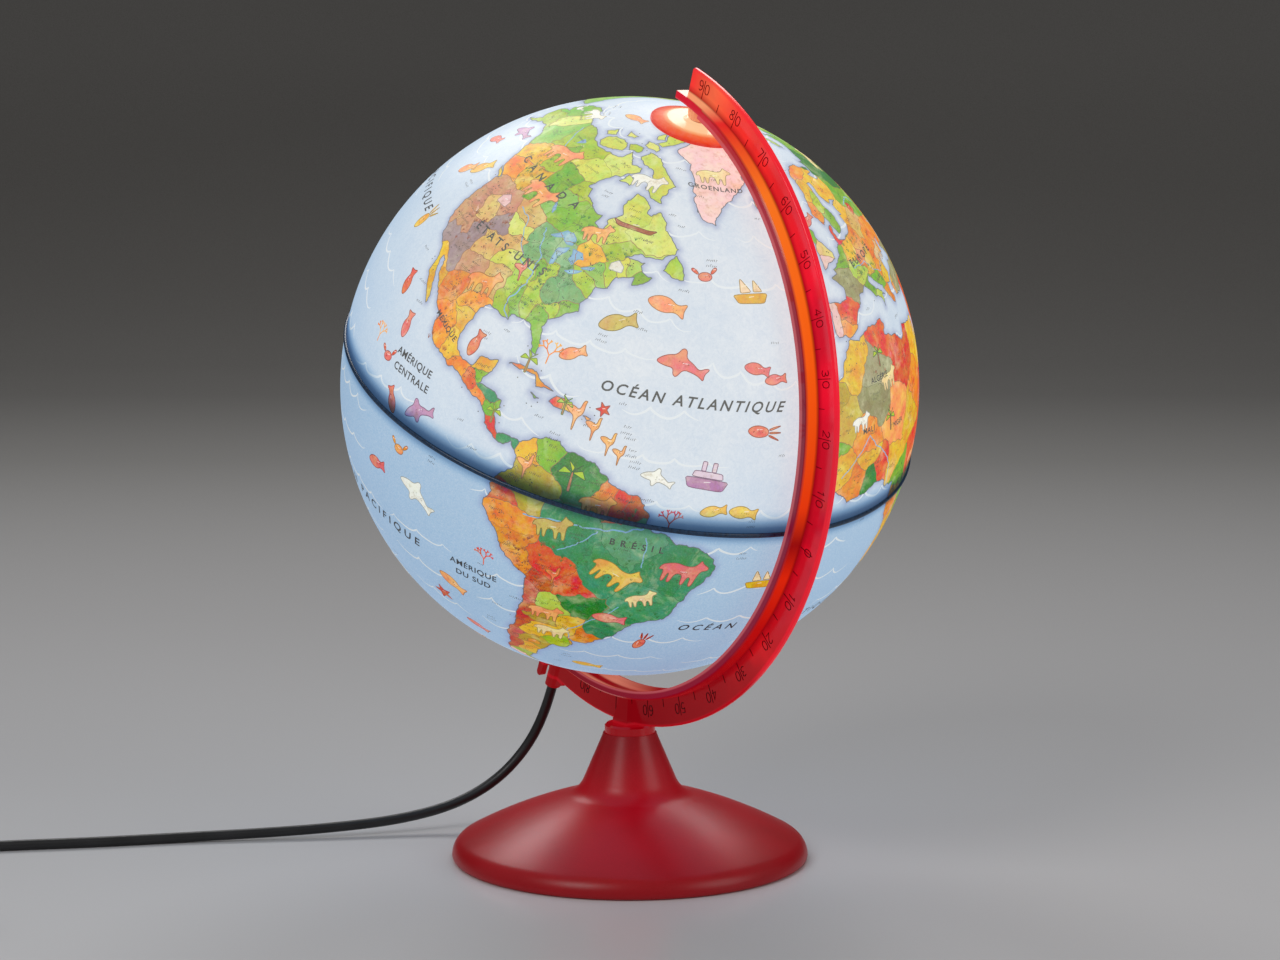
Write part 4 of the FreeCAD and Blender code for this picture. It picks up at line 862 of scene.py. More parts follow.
def draw_small(sheet, lines):
    for item in PLACES.split():
        kind, *place, ink = item.split(",")
        to_sphere = placer(*[float(v) for v in place])
        rng = random.Random(item)
        if kind == "coral":
            draw_coral(sheet, to_sphere, ink, rng)
            continue
        crisp = kind in CRISP
        for number, outline in enumerate(DRAWINGS[kind]):
            dense = rounded(outline, *((0.16, (0.0, 0.5, 1.0)) if crisp else (0.5, (0.0, 0.2, 0.4, 0.6, 0.8))))
            middle = sum(dense, Vector((0, 0))) / len(dense)
            xs, ys = [p.x for p in dense], [p.y for p in dense]
            grid = [Vector((x * 1.1 + (0.55 if round(y) % 2 else 0), y)) for x in range(-6, 7) for y in range(-6, 7)
                    if min(xs) < x * 1.1 < max(xs) and min(ys) < y < max(ys)]
            inner = [p for p, ok in zip(grid, inside(grid, dense)) if ok]
            loop_edges = [(i, (i + 1) % len(dense)) for i in range(len(dense))]
            verts, _, tris = geometry.delaunay_2d_cdt(dense + inner, loop_edges, [], 1, 1e-4)[:3]
            tone = tint(ink, (0.5 if number else -0.12) if crisp else 0.14 - 0.1 * number)
            if kind == "palm":
                tone = tint("l", 0.0) if number else tint("s", 0.1)
            sheet.patch([to_sphere(*v) for v in verts], [tuple(t) for t in tris], LIFT["drawing"], [tone] * len(tris))
            lines.ribbon([to_sphere(*p) for p in dense], 0.34, LIFT["outline"], tint(ink, -0.62), closed=True)
            if kind != "palm":
                mark = [to_sphere(middle.x - 0.6, middle.y + 0.4), to_sphere(middle.x + 0.9, middle.y + 0.6)]
                sheet.ribbon(mark, 0.35, LIFT["glint"], tint(ink, 0.6))
            if number == 0 and not crisp:
                for _ in range(5):
                    x, y = middle.x + rng.uniform(-1.6, 1.6), middle.y + rng.uniform(-0.5, 0.5)
                    fleck = [to_sphere(x, y), to_sphere(x + 0.3, y + 0.35)]
                    lines.ribbon(fleck, 0.25, LIFT["fleck"], tint(ink, -0.5))


WAVE_INK = srgb(226, 232, 236)


def draw_waves(sheet):
    """Pale rows of pointed waves, in broken runs along the parallels."""
    rng = random.Random(5)
    for row in range(17):
        base = -64 + row * 8.6
        lon = -180 + rng.uniform(0, 14)
        while lon < 180:
            narrow = max(math.cos(math.radians(base)), 0.35)
            span = rng.uniform(14, 30) / narrow
            if rng.random() < 0.84:
                periods = span * narrow / rng.uniform(5.6, 7.4)
                height, slope, phase = rng.uniform(0.7, 1.2), rng.uniform(-0.16, 0.16), rng.uniform(0, 6)
                path = []
                for i in range(64):
                    t = i / 63
                    swing = math.sin(phase + t * periods * 2 * math.pi)
                    swing = 1 - 2 * math.sqrt(abs(math.cos(phase + t * periods * math.pi))) + 0.2 * swing
                    path.append(direction(base + height * swing + slope * span * (t - 0.5), lon + span * t))
                sheet.ribbon(path, rng.uniform(0.8, 1.1), LIFT["wave"], WAVE_INK, taper=True)
            lon += span + rng.uniform(2, 9)


# Text, latitude, longitude, size in millimetres, turn in degrees, letter spacing, shear.
LABELS = """OCÉAN ATLANTIQUE|24.7|-46.2|6.2|1.5|1.34|0.3
    OCÉAN|-24|-30.5|5.6|2|1.6|0.3
    AMÉRIQUE|12.2|-105.5|4.6|0|1.1|0
    CENTRALE|9.3|-105|4.6|0|1.1|0
    AMÉRIQUE|-22.6|-82|4.4|0|1.1|0
    DU SUD|-25.3|-82|4.4|0|1.1|0
    CANADA|54.8|-108.5|5.4|-4|2.5|0
    ÉTATS-UNIS|40|-100|5.2|-2|1.65|0
    MEXIQUE|21.8|-102|3.4|-20|1.2|0
    BRÉSIL|-4.6|-51|4.2|0|2.0|0
    GROENLAND|68.5|-42|3.4|0|1.2|0
    ALGÉRIE|27|3|3.4|0|1.1|0
    MALI|18|-2.5|3.4|0|1.2|0
    NIGER|16.5|9.5|3|0|1.1|0
    OCÉAN PACIFIQUE|-24|-118|6.6|0|1.6|0.3
    OCÉAN PACIFIQUE|34|-157|6.6|0|1.6|0.3
    OCÉAN INDIEN|-20|78|6.6|0|1.6|0.3
    ATLANTIQUE|-25|-4|5.6|0|1.6|0.3
    EUROPE|49|16|4.6|0|1.6|0
    AFRIQUE|2|20|6|0|2|0
    RUSSIE|61|92|6|0|3|0
    CHINE|34|102|5|0|1.8|0
    AUSTRALIE|-25|133|5.4|0|1.6|0
    ANTARCTIQUE|-80|40|4.4|0|1.2|0"""
# Bounds in latitude and longitude, count of trees, ink.
FORESTS = [(-13, 3, -69, -52, 70, "d"), (-22, -8, -56, -42, 34, "d"), (50, 62, -122, -96, 60, "d"),
           (45, 54, -90, -68, 40, "d"), (33, 45, -90, -80, 40, "d"), (35, 46, -118, -104, 40, "s"),
           (55, 65, 60, 130, 90, "d"), (-4, 6, 14, 28, 46, "d"), (42, 54, 4, 28, 46, "d"), (10, 24, 98, 106, 20, "d"),
           (18, 30, -4, 28, 30, "s"), (-30, -18, 122, 142, 30, "s"), (-20, -8, -74, -66, 40, "s"),
           (17, 28, -106, -98, 24, "s"), (30, 44, 82, 112, 50, "s"), (-26, -10, 18, 32, 34, "s")]
SEA_LABELS = [(58, -56), (60, -60), (52, -45), (45, -52), (39, -62), (36, -60), (33, -68), (27, -88), (25, -92),
              (15, -75), (13, -71), (18, -58), (16, -57), (14, -56), (12, -55), (22, -60), (37, -28), (29, -20),
              (16, -26), (8, -62), (3, -30), (-4, -30), (-12, -75), (-20, -80), (-30, -76), (-36, -78), (-42, -58),
              (-48, -60), (22, -112), (30, -121), (44, -130), (8, -90), (4, -86), (-2, -94), (66, -50), (72, -62),
              (60, -86), (62, -25), (60, -8), (73, -150), (74, -165), (-10, -20), (-16, -8), (0, 0), (40, 6), (35, 20),
              (-5, 55), (12, 65), (12, 88), (-12, 95), (-30, 100), (5, 130), (20, 125), (35, 150), (0, 165),
              (-15, 160), (-25, 175), (-40, 160), (20, -160), (-15, -150), (-35, -110), (-55, -60), (-60, -40)]


def small_label(lines, spot, rng, most=8):
    """Row of tiny upright strokes, like a place name too small to read."""
    flat = Flat(spot)
    count = rng.randint(4, most)
    lean = rng.uniform(-0.06, 0.06)
    for k in range(count):
        x = (k - count / 2) * 0.36
        low, high = rng.choice([(-0.2, 0.2), (-0.2, 0.3), (-0.2, 0.1), (-0.3, 0.1)])
        run = [flat.up((x - 0.05, low)), flat.up((x + lean, (low + high) / 2 + 0.05)), flat.up((x + 0.08, high))]
        if rng.random() < 0.5:
            run.append(flat.up((x + 0.22, high - 0.12)))
        lines.ribbon(run, 0.17, LIFT["small"], STROKE_INK)


def print_text(lines, text, lat, lon, size, turn, spread, shear):
    """A plain geographic name, printed along the parallel."""
    curve = bpy.data.curves.new("label", "FONT")
    curve.body = text
    curve.size = size
    curve.align_x = "CENTER"
    curve.align_y = "CENTER"
    curve.space_character = spread
    curve.shear = shear
    curve.resolution_u = 3
    curve.offset = 0.017 * size
    obj = bpy.data.objects.new("label", curve)
    COLLECTION.objects.link(obj)
    mesh = bpy.data.meshes.new_from_object(obj.evaluated_get(bpy.context.evaluated_depsgraph_get()))
    flat = Flat(direction(lat, lon))
    lean = math.radians(turn)
    rows = []
    for v in mesh.vertices:
        x, y = v.co.x / MM_PER_DEGREE, v.co.y / MM_PER_DEGREE
        # The row bends with the parallel.
        y += x * x * math.tan(math.radians(lat)) * math.pi / 360
        rows.append(flat.up((x * math.cos(lean) - y * math.sin(lean), x * math.sin(lean) + y * math.cos(lean))))
    faces = [tuple(f.vertices) for f in mesh.polygons]
    lines.patch(rows, faces, LIFT["letters"], [LETTER_INK] * len(faces))
    bpy.data.objects.remove(obj)
    bpy.data.curves.remove(curve)


def draw_details(sheet, lines, coast_tree):
    """Rivers, mountain ridges, towns, tiny names, trees and the readable names."""
    for text, width in RIVERS:
        path = [direction(*p) for p in parse(text)]
        dense = []
        for a, b in zip(path, path[1:]):
            for i in range(6):
                dense.append(wander(a.lerp(b, i / 6).normalized(), 0.9))
        dense.append(wander(path[-1], 0.9))
        sheet.ribbon(dense, width, LIFT["river"], "w")
        lines.ribbon(dense, width * 0.35, LIFT["coast"], RIVER_LINE)
    rng = random.Random(11)
    ridges = ["60,-128 54,-120 48,-115 42,-110 37,-106 32,-106 26,-105 20,-101",
              "8,-74 2,-77 -6,-78 -14,-73 -20,-68 -28,-69 -36,-70.5 -44,-72", "46,8 47,13 44,19 42,24",
              "35,72 30,82 28,92 33,102", "60,59 66,61", "33,-4 35,3 36,8", "12,38 6,38", "52,100 56,120 64,140"]
    for ridge in ridges:
        path = [direction(*p) for p in parse(ridge)]
        for a, b in zip(path, path[1:]):
            for i in range(7):
                spot = Flat(a.lerp(b, (i + rng.random()) / 7).normalized())
                x, y = rng.uniform(-1.5, 1.5), rng.uniform(-0.8, 0.8)
                size = rng.uniform(0.28, 0.5)
                peak = [spot.up((x - size, y)), spot.up((x, y + size * 1.3)), spot.up((x + size, y))]
                lines.ribbon(peak, 0.26, LIFT["ridge"], RIDGE_INK)
    for land, (_, seeds) in LANDS.items():
        for seed in parse(seeds):
            if seed[2] == "w" or land == "antarctica":
                continue
            for _ in range(4):
                spot = wander(direction(seed[0] + rng.uniform(-2, 2), seed[1] + rng.uniform(-2.5, 2.5)))
                if coast_tree.find(spot)[2] < 0.012:
                    continue
                flat = Flat(spot)
                dot = [flat.up((0.13 * math.cos(k), 0.13 * math.sin(k))) for k in (0, 1.26, 2.51, 3.77, 5.03)]
                sheet.patch(dot, [(0, 1, 2, 3, 4)], LIFT["small"], [TOWN_INK])
            for _ in range(2):
                spot = wander(direction(seed[0] + rng.uniform(-1.8, 1.8), seed[1] + rng.uniform(-2, 2)))
                if coast_tree.find(spot)[2] > 0.016:
                    small_label(lines, spot, rng)
    for low, high, west, east, count, ink in FORESTS:
        for _ in range(round(count * 0.6)):
            flat = Flat(wander(direction(rng.uniform(low, high), rng.uniform(west, east))))
            size = rng.uniform(0.3, 0.5)
            for lean in (-0.7, -0.25, 0.25, 0.7):
                x, y = lean * size * 1.4, size * (1.3 - lean * lean)
                branch = [flat.up((0, -size * 0.6)), flat.up((x * 0.6, y * 0.5)), flat.up((x, y))]
                lines.ribbon(branch, 0.17, LIFT["small"], tint(ink, rng.uniform(-0.5, -0.1)))
    for lat, lon in SEA_LABELS:
        for row in range(rng.randint(1, 2)):
            small_label(lines, direction(lat - row * 1.1, lon), rng, 6)
    for row in LABELS.split("\n"):
        text, lat, lon, size, turn, spread, shear = row.strip().split("|")
        print_text(lines, text, *[float(v) for v in (lat, lon, size, turn, spread, shear)])


# From the globe's centre, toward the part that shines brightest.
HOT = Vector((0.79, -0.36, 0.50)).normalized()


def lit_levels(n):
    """The seam's shade as a colour to multiply by, the lamp's level, and whether it is the south half."""
    local = n.vmath("SUBTRACT", n.coord, tuple(CENTRE))
    height = n.vmath("DOT_PRODUCT", local, tuple(AXIS))
    above = n.range(height, 0.0004, 0.0125, 0.12, 1.0, smooth=True)
    below = n.range(height, -0.0060, -0.0008, 1.0, 0.5, smooth=True)
    side = n.math("GREATER_THAN", height, 0.0)
    seam = n.add("Mix", {0: side, 2: below, 3: above}, data_type="FLOAT").outputs[0]
    shade = n.ramp(seam, [(0.0, (0.02, 0.05, 0.10)), (0.25, (0.09, 0.17, 0.29)), (0.5, (0.30, 0.44, 0.60)),
                          (0.78, (0.72, 0.82, 0.90)), (1.0, (1, 1, 1))])
    toward = n.vmath("DOT_PRODUCT", n.vmath("NORMALIZE", local), tuple(HOT))
    hot = n.range(toward, -0.35, 1.0, 0.0, 1.0, smooth=True)
    south = n.range(height, -0.004, 0.004, 1.0, 0.0)
    return shade, hot, south


def ocean_material(name):
    n = Nodes(name)
    shade, hot, south = lit_levels(n)
    coast = n.add("Attribute", attribute_name="coast").outputs["Fac"]
    blot = n.noise(34.0, 5.0, 0.6)
    fibre = n.noise(1500.0, 4.0, 0.7)
    streak = n.noise(330.0, 4.0, 0.65, distortion=1.5)
    # Painted pool of lamp light: both ramps follow the lamp's level and are paler where it shines most. The south half
    # takes the darker ramp.
    north = n.ramp(hot, [(0.0, srgb(146, 176, 208)), (0.3, srgb(172, 198, 224)), (0.62, srgb(202, 219, 234)),
                         (0.88, srgb(222, 231, 239)), (1.0, srgb(230, 235, 239))])
    low = n.ramp(hot, [(0.0, srgb(128, 164, 198)), (0.45, srgb(154, 186, 214)), (1.0, srgb(176, 202, 224))])
    lamp_lit_paper = n.mix(south, north, low)
    lamp_lit_paper = n.mix(n.range(blot, 0.35, 0.7, 0.0, 0.22), lamp_lit_paper, srgb(166, 196, 226))
    lamp_lit_paper = n.mix(n.range(streak, 0.35, 0.7, 0.0, 0.2), lamp_lit_paper, srgb(150, 178, 210))
    lamp_lit_paper = n.mix(n.range(fibre, 0.4, 0.72, 0.0, 0.22), lamp_lit_paper, srgb(248, 249, 250))
    shore = n.mix(n.math("MULTIPLY", coast, 0.6), lamp_lit_paper, srgb(132, 142, 190))
    shaded = n.mix(1.0, shore, shade, "MULTIPLY")
    return n.glow(shaded, 0.86, 0.8, {"Roughness": 0.42, "Specular IOR Level": 0.25, "Normal": n.bump(fibre, 0.05)})


def ink_material(name, water=0.4):
    n = Nodes(name)
    shade, hot, south = lit_levels(n)
    ink = n.add("Attribute", attribute_name="ink").outputs["Color"]
    wash = n.noise(95.0, 5.0, 0.62, distortion=0.6)
    tone = n.noise(150.0, 3.0, 0.6)
    grain = n.noise(480.0, 5.0, 0.7)
    fibre = n.noise(1700.0, 3.0, 0.7)
    col = ink
    if water > 0.1:
        hue = n.range(tone, 0.3, 0.7, 0.468, 0.53)
        col = n.add("HueSaturation", {"Hue": hue, "Saturation": 1.12, "Value": 1.0, "Color": ink}).outputs[0]
        col = n.mix(n.range(wash, 0.3, 0.5, water, 0.0), col, (0.92, 0.66, 0.22, 1), "MULTIPLY")
        col = n.mix(n.range(wash, 0.52, 0.74, 0.0, 0.34), col, (1.0, 0.98, 0.62, 1))
        col = n.mix(n.range(grain, 0.5, 0.66, 0.0, 0.42), col, (0.46, 0.34, 0.16, 1), "MULTIPLY")
    col = n.mix(n.range(fibre, 0.5, 0.8, 0.0, 0.12), col, WHITE)
    # Painted lamp light and shade: paler where the lamp shines most and darker away from it. The south half is made
    # darker too.
    col = n.mix(n.range(hot, 0.5, 1.0, 0.0, 0.1), col, (1, 1, 0.86, 1))
    col = n.mix(n.range(hot, 0.0, 0.5, 0.3, 0.0), col, (0.42, 0.34, 0.26, 1), "MULTIPLY")
    col = n.mix(n.math("MULTIPLY", south, 0.25), col, (0.5, 0.6, 0.62, 1), "MULTIPLY")
    shaded = n.mix(1.0, col, shade, "MULTIPLY")
    return n.glow(shaded, 0.84, 0.7, {"Roughness": 0.42, "Specular IOR Level": 0.25, "Normal": n.bump(grain, 0.08)})


SHELL_SEGMENTS, OUTER_STEPS, INNER_STEPS = 480, 150, 30
SHORE_BAND = 3.2  # width of the darker water along the coast, in millimetres


def hemisphere(name, sign, hole_r, mat, coast_tree):
    """Half of the map shell, from the seam to the hole at its pole; "coast" says how near the coast is."""
    first, last = math.asin(HALF_SEAM / SHELL_R), math.acos(hole_r / SHELL_R)
    profile = on_circle(0, 0, SHELL_R, between(first, last, OUTER_STEPS))
    first, last = math.asin(HALF_SEAM / SHELL_INNER), math.acos(hole_r / SHELL_INNER)
    profile += on_circle(0, 0, SHELL_INNER, between(last, first, INNER_STEPS))
    verts, faces = lathe(profile, SHELL_SEGMENTS)
    if sign < 0:
        verts = [(x, y, -z) for x, y, z in verts]
        faces = [tuple(reversed(f)) for f in faces]
    outer = SHELL_SEGMENTS * (OUTER_STEPS + 1)
    values = [max(0.0, 1.0 - coast_tree.find(Vector(v).normalized())[2] * SHELL_R / SHORE_BAND) ** 1.4
              for v in verts[:outer]] + [0.0] * (len(verts) - outer)
    return piece(name, verts, faces, mat, "globe", matrix=POLAR,
                 replaces=["north_hemisphere" if sign > 0 else "south_hemisphere"],
                 attrs={"coast": ("FLOAT", "POINT", values)})


def make_map():
    land, lines, coast = Sheet(), Sheet(), []
    for name, (outline, seeds) in LANDS.items():
        draw_land(name, outline, seeds, land, lines, coast)
    tree = kdtree.KDTree(len(coast))
    for i, p in enumerate(coast):
        tree.insert(p, i)
    tree.balance()
    waves = Sheet()
    draw_waves(waves)
    draw_details(land, lines, tree)
    draw_small(land, lines)
    hemisphere("map_shell_north", 1, 9.0, ocean_material("map_ocean_north"), tree)
    hemisphere("map_shell_south", -1, 22.0, ocean_material("map_ocean_south"), tree)
    waves.build("map_wave_strokes", ink_material("map_stroke_ink", 0.05), "map_north")
    land.build("map_land_print", ink_material("map_land_ink"), "map_north")
    lines.build("map_line_print", ink_material("map_line_ink", 0.0), "map_north")


def seam_material():
    n = Nodes("seam_navy")
    fine = n.noise(700.0, 3.0)
    colour = n.mix(n.grey(fine, (0.35, 0.0), (0.7, 1.0)), srgb(8, 30, 52), srgb(20, 52, 82))
    # The emission is a painted glow on the navy band.
    return n.finish({"Base Color": colour, "Roughness": n.range(fine, 0.3, 0.7, 0.25, 0.4),
                     "Normal": n.bump(fine, 0.06), "Emission Color": colour, "Emission Strength": 0.25})


def make_seam():
    def skirt(z):
        """Radius of the band's inner wall at a height, just inside the shell."""
        return math.sqrt(SHELL_INNER ** 2 - z ** 2) - 0.05

    band = [(SHELL_R + 0.9 * math.sin(math.radians(a)), HALF_SEAM * math.cos(math.radians(a)))
            for a in range(0, 181, 20)]
    profile = [(skirt(HALF_SEAM), HALF_SEAM)] + band + [
        (skirt(HALF_SEAM), -HALF_SEAM), (skirt(-4), -4), (skirt(-4) - 1.6, -4), (skirt(12) - 1.6, 12), (skirt(12), 12)]
    verts, faces = lathe(profile, 360)
    piece("seam_band", verts, faces, seam_material(), "globe", replaces=["equator_ring"],
          matrix=POLAR)


def cap_material():
    n = Nodes("cap_amber")
    local = n.vmath("SUBTRACT", n.coord, tuple(CENTRE))
    height = n.vmath("DOT_PRODUCT", local, tuple(AXIS))
    total = n.vmath("LENGTH", local)
    off = n.math("SQRT", n.math("MAXIMUM", n.math("SUBTRACT", n.math("MULTIPLY", total, total),
                                                    n.math("MULTIPLY", height, height)), 0.0))
    fine = n.noise(420.0, 3.0)
    band = n.ramp(n.range(off, 0.0, 0.0205), [
        (0.0, srgb(250, 206, 158)), (0.58, srgb(253, 206, 156)), (0.66, srgb(250, 176, 120)),
        (0.74, srgb(246, 112, 62)), (0.9, srgb(240, 74, 34)), (1.0, srgb(214, 36, 24))])
    col = n.mix(n.range(fine, 0.4, 0.7, 0.0, 0.04), band, WHITE)
    return n.glow(col, 0.84, 0.8, {"Roughness": 0.32, "Specular IOR Level": 0.3, "Coat Weight": 0.15,
                                   "Coat Roughness": 0.15, "Normal": n.bump(fine, 0.05)})


def make_cap():
    def seat(r):
        """Height of the shell at a radius, with 0.06 mm to spare."""
        return math.sqrt(125.06 ** 2 - r ** 2)

    top = fillet_line([(20.0, seat(20.0) + 0.1), (20.0, 124.35), (13.2, 126.25), (6.4, 126.45), (5.2, 127.15),
                       (4.0, 127.2)], [0, 0.35, 1.6, 1.2, 0.4, 0])
    profile = [(4.0, 117.0), (8.9, 117.0), (8.9, seat(8.9))] + \
        [(r, seat(r)) for r in (11.0, 14.0, 17.0, 19.0)] + top
    verts, faces = lathe(profile, 128)
    piece("pole_cap", verts, faces, cap_material(), "globe", replaces=["north_cap"],
          matrix=POLAR)


def make_boss():
    """Fluted neck under the arm's pad, round the pivot pin."""
    verts, faces = lathe([(3.2, 127.7), (4.6, 127.7), (4.9, 128.1), (5.9, 133.0), (5.9, 133.6), (3.2, 133.6)], 144)
    for i, v in enumerate(verts):
        away = math.hypot(v[0], v[1])
        if away > 4 * MM:
            flute = 1 - 0.05 * (0.5 + 0.5 * math.cos(24 * math.atan2(v[1], v[0]))) ** 2
            verts[i] = (v[0] * flute, v[1] * flute, v[2])
    n = Nodes("boss_amber")
    fine = n.noise(300.0, 3.0)
    col = n.mix(n.range(fine, 0.3, 0.7), srgb(232, 128, 90), srgb(250, 176, 128))
    mat = n.glow(col, 0.7, 0.7, {"Roughness": 0.3, "Normal": n.bump(fine, 0.05)})
    piece("pivot_boss", verts, faces, mat, "stand", matrix=POLAR)


# ---- arm ------------------------------------------------------------------------------------------
# Arcs of the arm, in millimetres: radius, then the centre's X and Z from the globe's centre.
WEB_ARC = (147.6, -1.2, -0.8)
CHANNEL_ARC = (136.5, -0.9, 0.5)


def on_arc(arc, degrees):
    """Point in the XZ plane, in millimetres, where a ray from the globe's centre meets one of the arm's arcs."""
    radius, sx, sz = arc
    ray = Vector((math.cos(math.radians(degrees)), math.sin(math.radians(degrees))))
    shift = Vector((sx, sz))
    along = shift.dot(ray)
    return ray * (along + math.sqrt(radius ** 2 - shift.length_squared + along ** 2))


def by_angle(n, turn, *stops):
    """Colour along the arm, from (degrees, r, g, b) rows going up from its south end."""
    return n.ramp(n.range(turn, math.radians(-120), math.radians(75)),
                  [((deg + 120) / 195, srgb(*rgb)) for deg, *rgb in stops])


def arm_material():
    n = Nodes("arm_clear_red")

    def from_arc(arc):
        centre = CENTRE + Vector((arc[1], 0, arc[2])) * MM
        x, _, z = n.add("SeparateXYZ", {0: n.vmath("SUBTRACT", n.coord, tuple(centre))}).outputs
        return n.math("SQRT", n.math("ADD", n.math("MULTIPLY", x, x), n.math("MULTIPLY", z, z)))

    x, y, z = n.add("SeparateXYZ", {0: n.vmath("SUBTRACT", n.coord, tuple(CENTRE))}).outputs
    turn = n.math("ARCTAN2", z, x)
    aside = n.math("ABSOLUTE", y)
    rim_r, rib_r = from_arc(WEB_ARC), from_arc(CHANNEL_ARC)
    fine = n.noise(260.0, 4.0)
    flow = n.noise(26.0, 3.0, distortion=0.8)
    # The stops by angle give the arm's clear red with painted light in it: brighter high up and at the pad, darker low
    # down, and a painted shadow of the seam across the band at about -23 degrees.
    web = by_angle(n, turn, (-117, 118, 30, 30), (-98, 100, 14, 20), (-84, 90, 2, 12), (-66, 124, 4, 16),
                   (-45, 178, 14, 24), (-20, 190, 10, 34), (0, 200, 6, 42), (20, 210, 6, 46), (40, 226, 20, 38),
                   (56, 240, 52, 44), (64, 247, 104, 66), (70, 236, 48, 44))
    band = by_angle(n, turn, (-117, 150, 40, 34), (-98, 206, 120, 100), (-84, 150, 22, 26), (-60, 150, 8, 18),
                    (-42, 190, 14, 12), (-30, 226, 40, 10), (-23, 150, 12, 14), (-16, 236, 60, 14),
                    (10, 254, 98, 18), (40, 255, 124, 34), (58, 226, 34, 40), (64, 244, 164, 116))
    side = by_angle(n, turn, (-117, 120, 22, 30), (-75, 140, 14, 44), (-40, 130, 12, 44), (0, 120, 10, 40),
                    (50, 170, 4, 30), (66, 214, 14, 44))
    web = n.mix(n.range(flow, 0.4, 0.65, 0.0, 0.7), web, (1.6, 1.4, 1.3, 1), "MULTIPLY")
    web = n.mix(n.range(rib_r, 0.1392, 0.1366, 0.0, 0.55), web, srgb(128, 0, 12))
    # Painted highlight along the outer rim of the web.
    edge = n.math("MULTIPLY", n.range(rim_r, 0.1462, 0.1470, 0.0, 0.85), n.range(rim_r, 0.1480, 0.1484, 1.0, 0.0))
    web = n.mix(edge, web, n.mix(0.6, web, srgb(255, 36, 56)))
    # Painted shade: the web is darker at the bottom.
    web = n.mix(n.range(z, -0.110, -0.118, 0.0, 0.6), web, srgb(150, 6, 16))
    rib = n.math("MULTIPLY", n.range(aside, 0.00142, 0.0016, 0.0, 1.0), n.range(rib_r, 0.1372, 0.1368, 0.0, 1.0))
    # Painted shade in the corner where the band meets the web.
    corner = n.range(aside, 0.0017, 0.0030, 0.8, 0.0)
    band = n.mix(corner, band, srgb(134, 0, 12))
    band = n.mix(n.range(aside, 0.0066, 0.0074, 0.0, 0.75), band, srgb(150, 4, 24))
    # Painted highlight, pale pink, along the lip of the channel wall.
    lip = n.mix(n.range(rib_r, 0.1339, 0.1333, 0.0, 0.4), side, srgb(226, 120, 124))
    band = n.mix(n.range(aside, 0.0073, 0.0076, 0.0, 1.0), band, lip)
    lit = n.mix(rib, web, band)
    return n.glow(lit, 0.82, 0.85, {
        "Roughness": n.range(fine, 0.3, 0.7, 0.16, 0.26), "IOR": 1.49,
        "Specular IOR Level": n.range(turn, math.radians(-80), math.radians(-10), 0.05, 0.26),
        "Transmission Weight": 0.03, "Coat Weight": n.range(turn, math.radians(-80), math.radians(0), 0.02, 0.12),
        "Coat Roughness": 0.08, "Normal": n.bump(flow, 0.04, 0.0006)}, dark=(0.02, 0.0, 0.0, 1))


def scale_material():
    n = Nodes("scale_dark_red")
    height = n.vmath("DOT_PRODUCT", n.vmath("SUBTRACT", n.coord, tuple(CENTRE)), (0, 0, 1))
    fine = n.noise(600.0, 2.0)
    # Painted shade: the marks are darker low on the arm and lighter high up.
    colour = n.mix(n.range(height, -0.12, 0.04), srgb(56, 0, 8), srgb(128, 2, 18))
    return n.finish({"Base Color": n.mix(n.range(fine, 0.3, 0.7, 0.0, 0.3), colour, srgb(70, 0, 8)),
                     "Roughness": 0.4, "Specular IOR Level": 0.08, "Normal": n.bump(fine, 0.05)})


# Pen strokes of each digit, in a box one unit wide and 1.6 units high.
DIGITS = {
    "0": [(0, 0.8), (-0.36, 0.62), (-0.48, 0.2), (-0.48, -0.2), (-0.36, -0.62), (0, -0.8), (0.36, -0.62),
          (0.48, -0.2), (0.48, 0.2), (0.36, 0.62)],
    "1": [(-0.3, 0.48), (0.05, 0.8), (0.05, -0.8)],
    "2": [(-0.42, 0.5), (-0.2, 0.78), (0.2, 0.78), (0.44, 0.45), (0.3, 0.05), (-0.45, -0.8), (0.48, -0.8)],
    "3": [(-0.4, 0.65), (0, 0.8), (0.38, 0.6), (0.35, 0.2), (-0.04, 0.05), (0.42, -0.15), (0.44, -0.6), (0, -0.8),
          (-0.42, -0.62)],
    "4": [(0.2, -0.8), (0.2, 0.8), (-0.48, -0.3), (0.5, -0.3)],
    "5": [(0.4, 0.8), (-0.35, 0.8), (-0.4, 0.1), (0, 0.22), (0.4, 0.05), (0.45, -0.4), (0.1, -0.8),
          (-0.42, -0.65)],
    "6": [(0.35, 0.7), (0, 0.8), (-0.42, 0.4), (-0.48, -0.3), (-0.2, -0.78), (0.25, -0.78), (0.46, -0.35),
          (0.25, 0.05), (-0.2, 0.05), (-0.44, -0.2)],
    "7": [(-0.45, 0.8), (0.45, 0.8), (-0.1, -0.8)],
    "8": [(0.02, 0.06), (-0.34, 0.26), (-0.32, 0.64), (0, 0.8), (0.32, 0.64), (0.34, 0.26), (-0.02, 0.04),
          (-0.42, -0.2), (-0.4, -0.62), (0, -0.8), (0.4, -0.62), (0.42, -0.2)],
    "9": [(-0.35, -0.7), (0, -0.8), (0.42, -0.4), (0.48, 0.3), (0.2, 0.78), (-0.25, 0.78), (-0.46, 0.35),
          (-0.25, -0.05), (0.2, -0.05), (0.44, 0.2)],
}
DIGIT_SIZE = 2.7
FACE_Y = 1.4  # half of the web's thickness
EQUATOR_AT = -23.5  # the angle at which the scale says 0
SCALE_ENDS = (-112, 69.5)
FORK_AT = -90  # the collar's fork is here, so there is no number


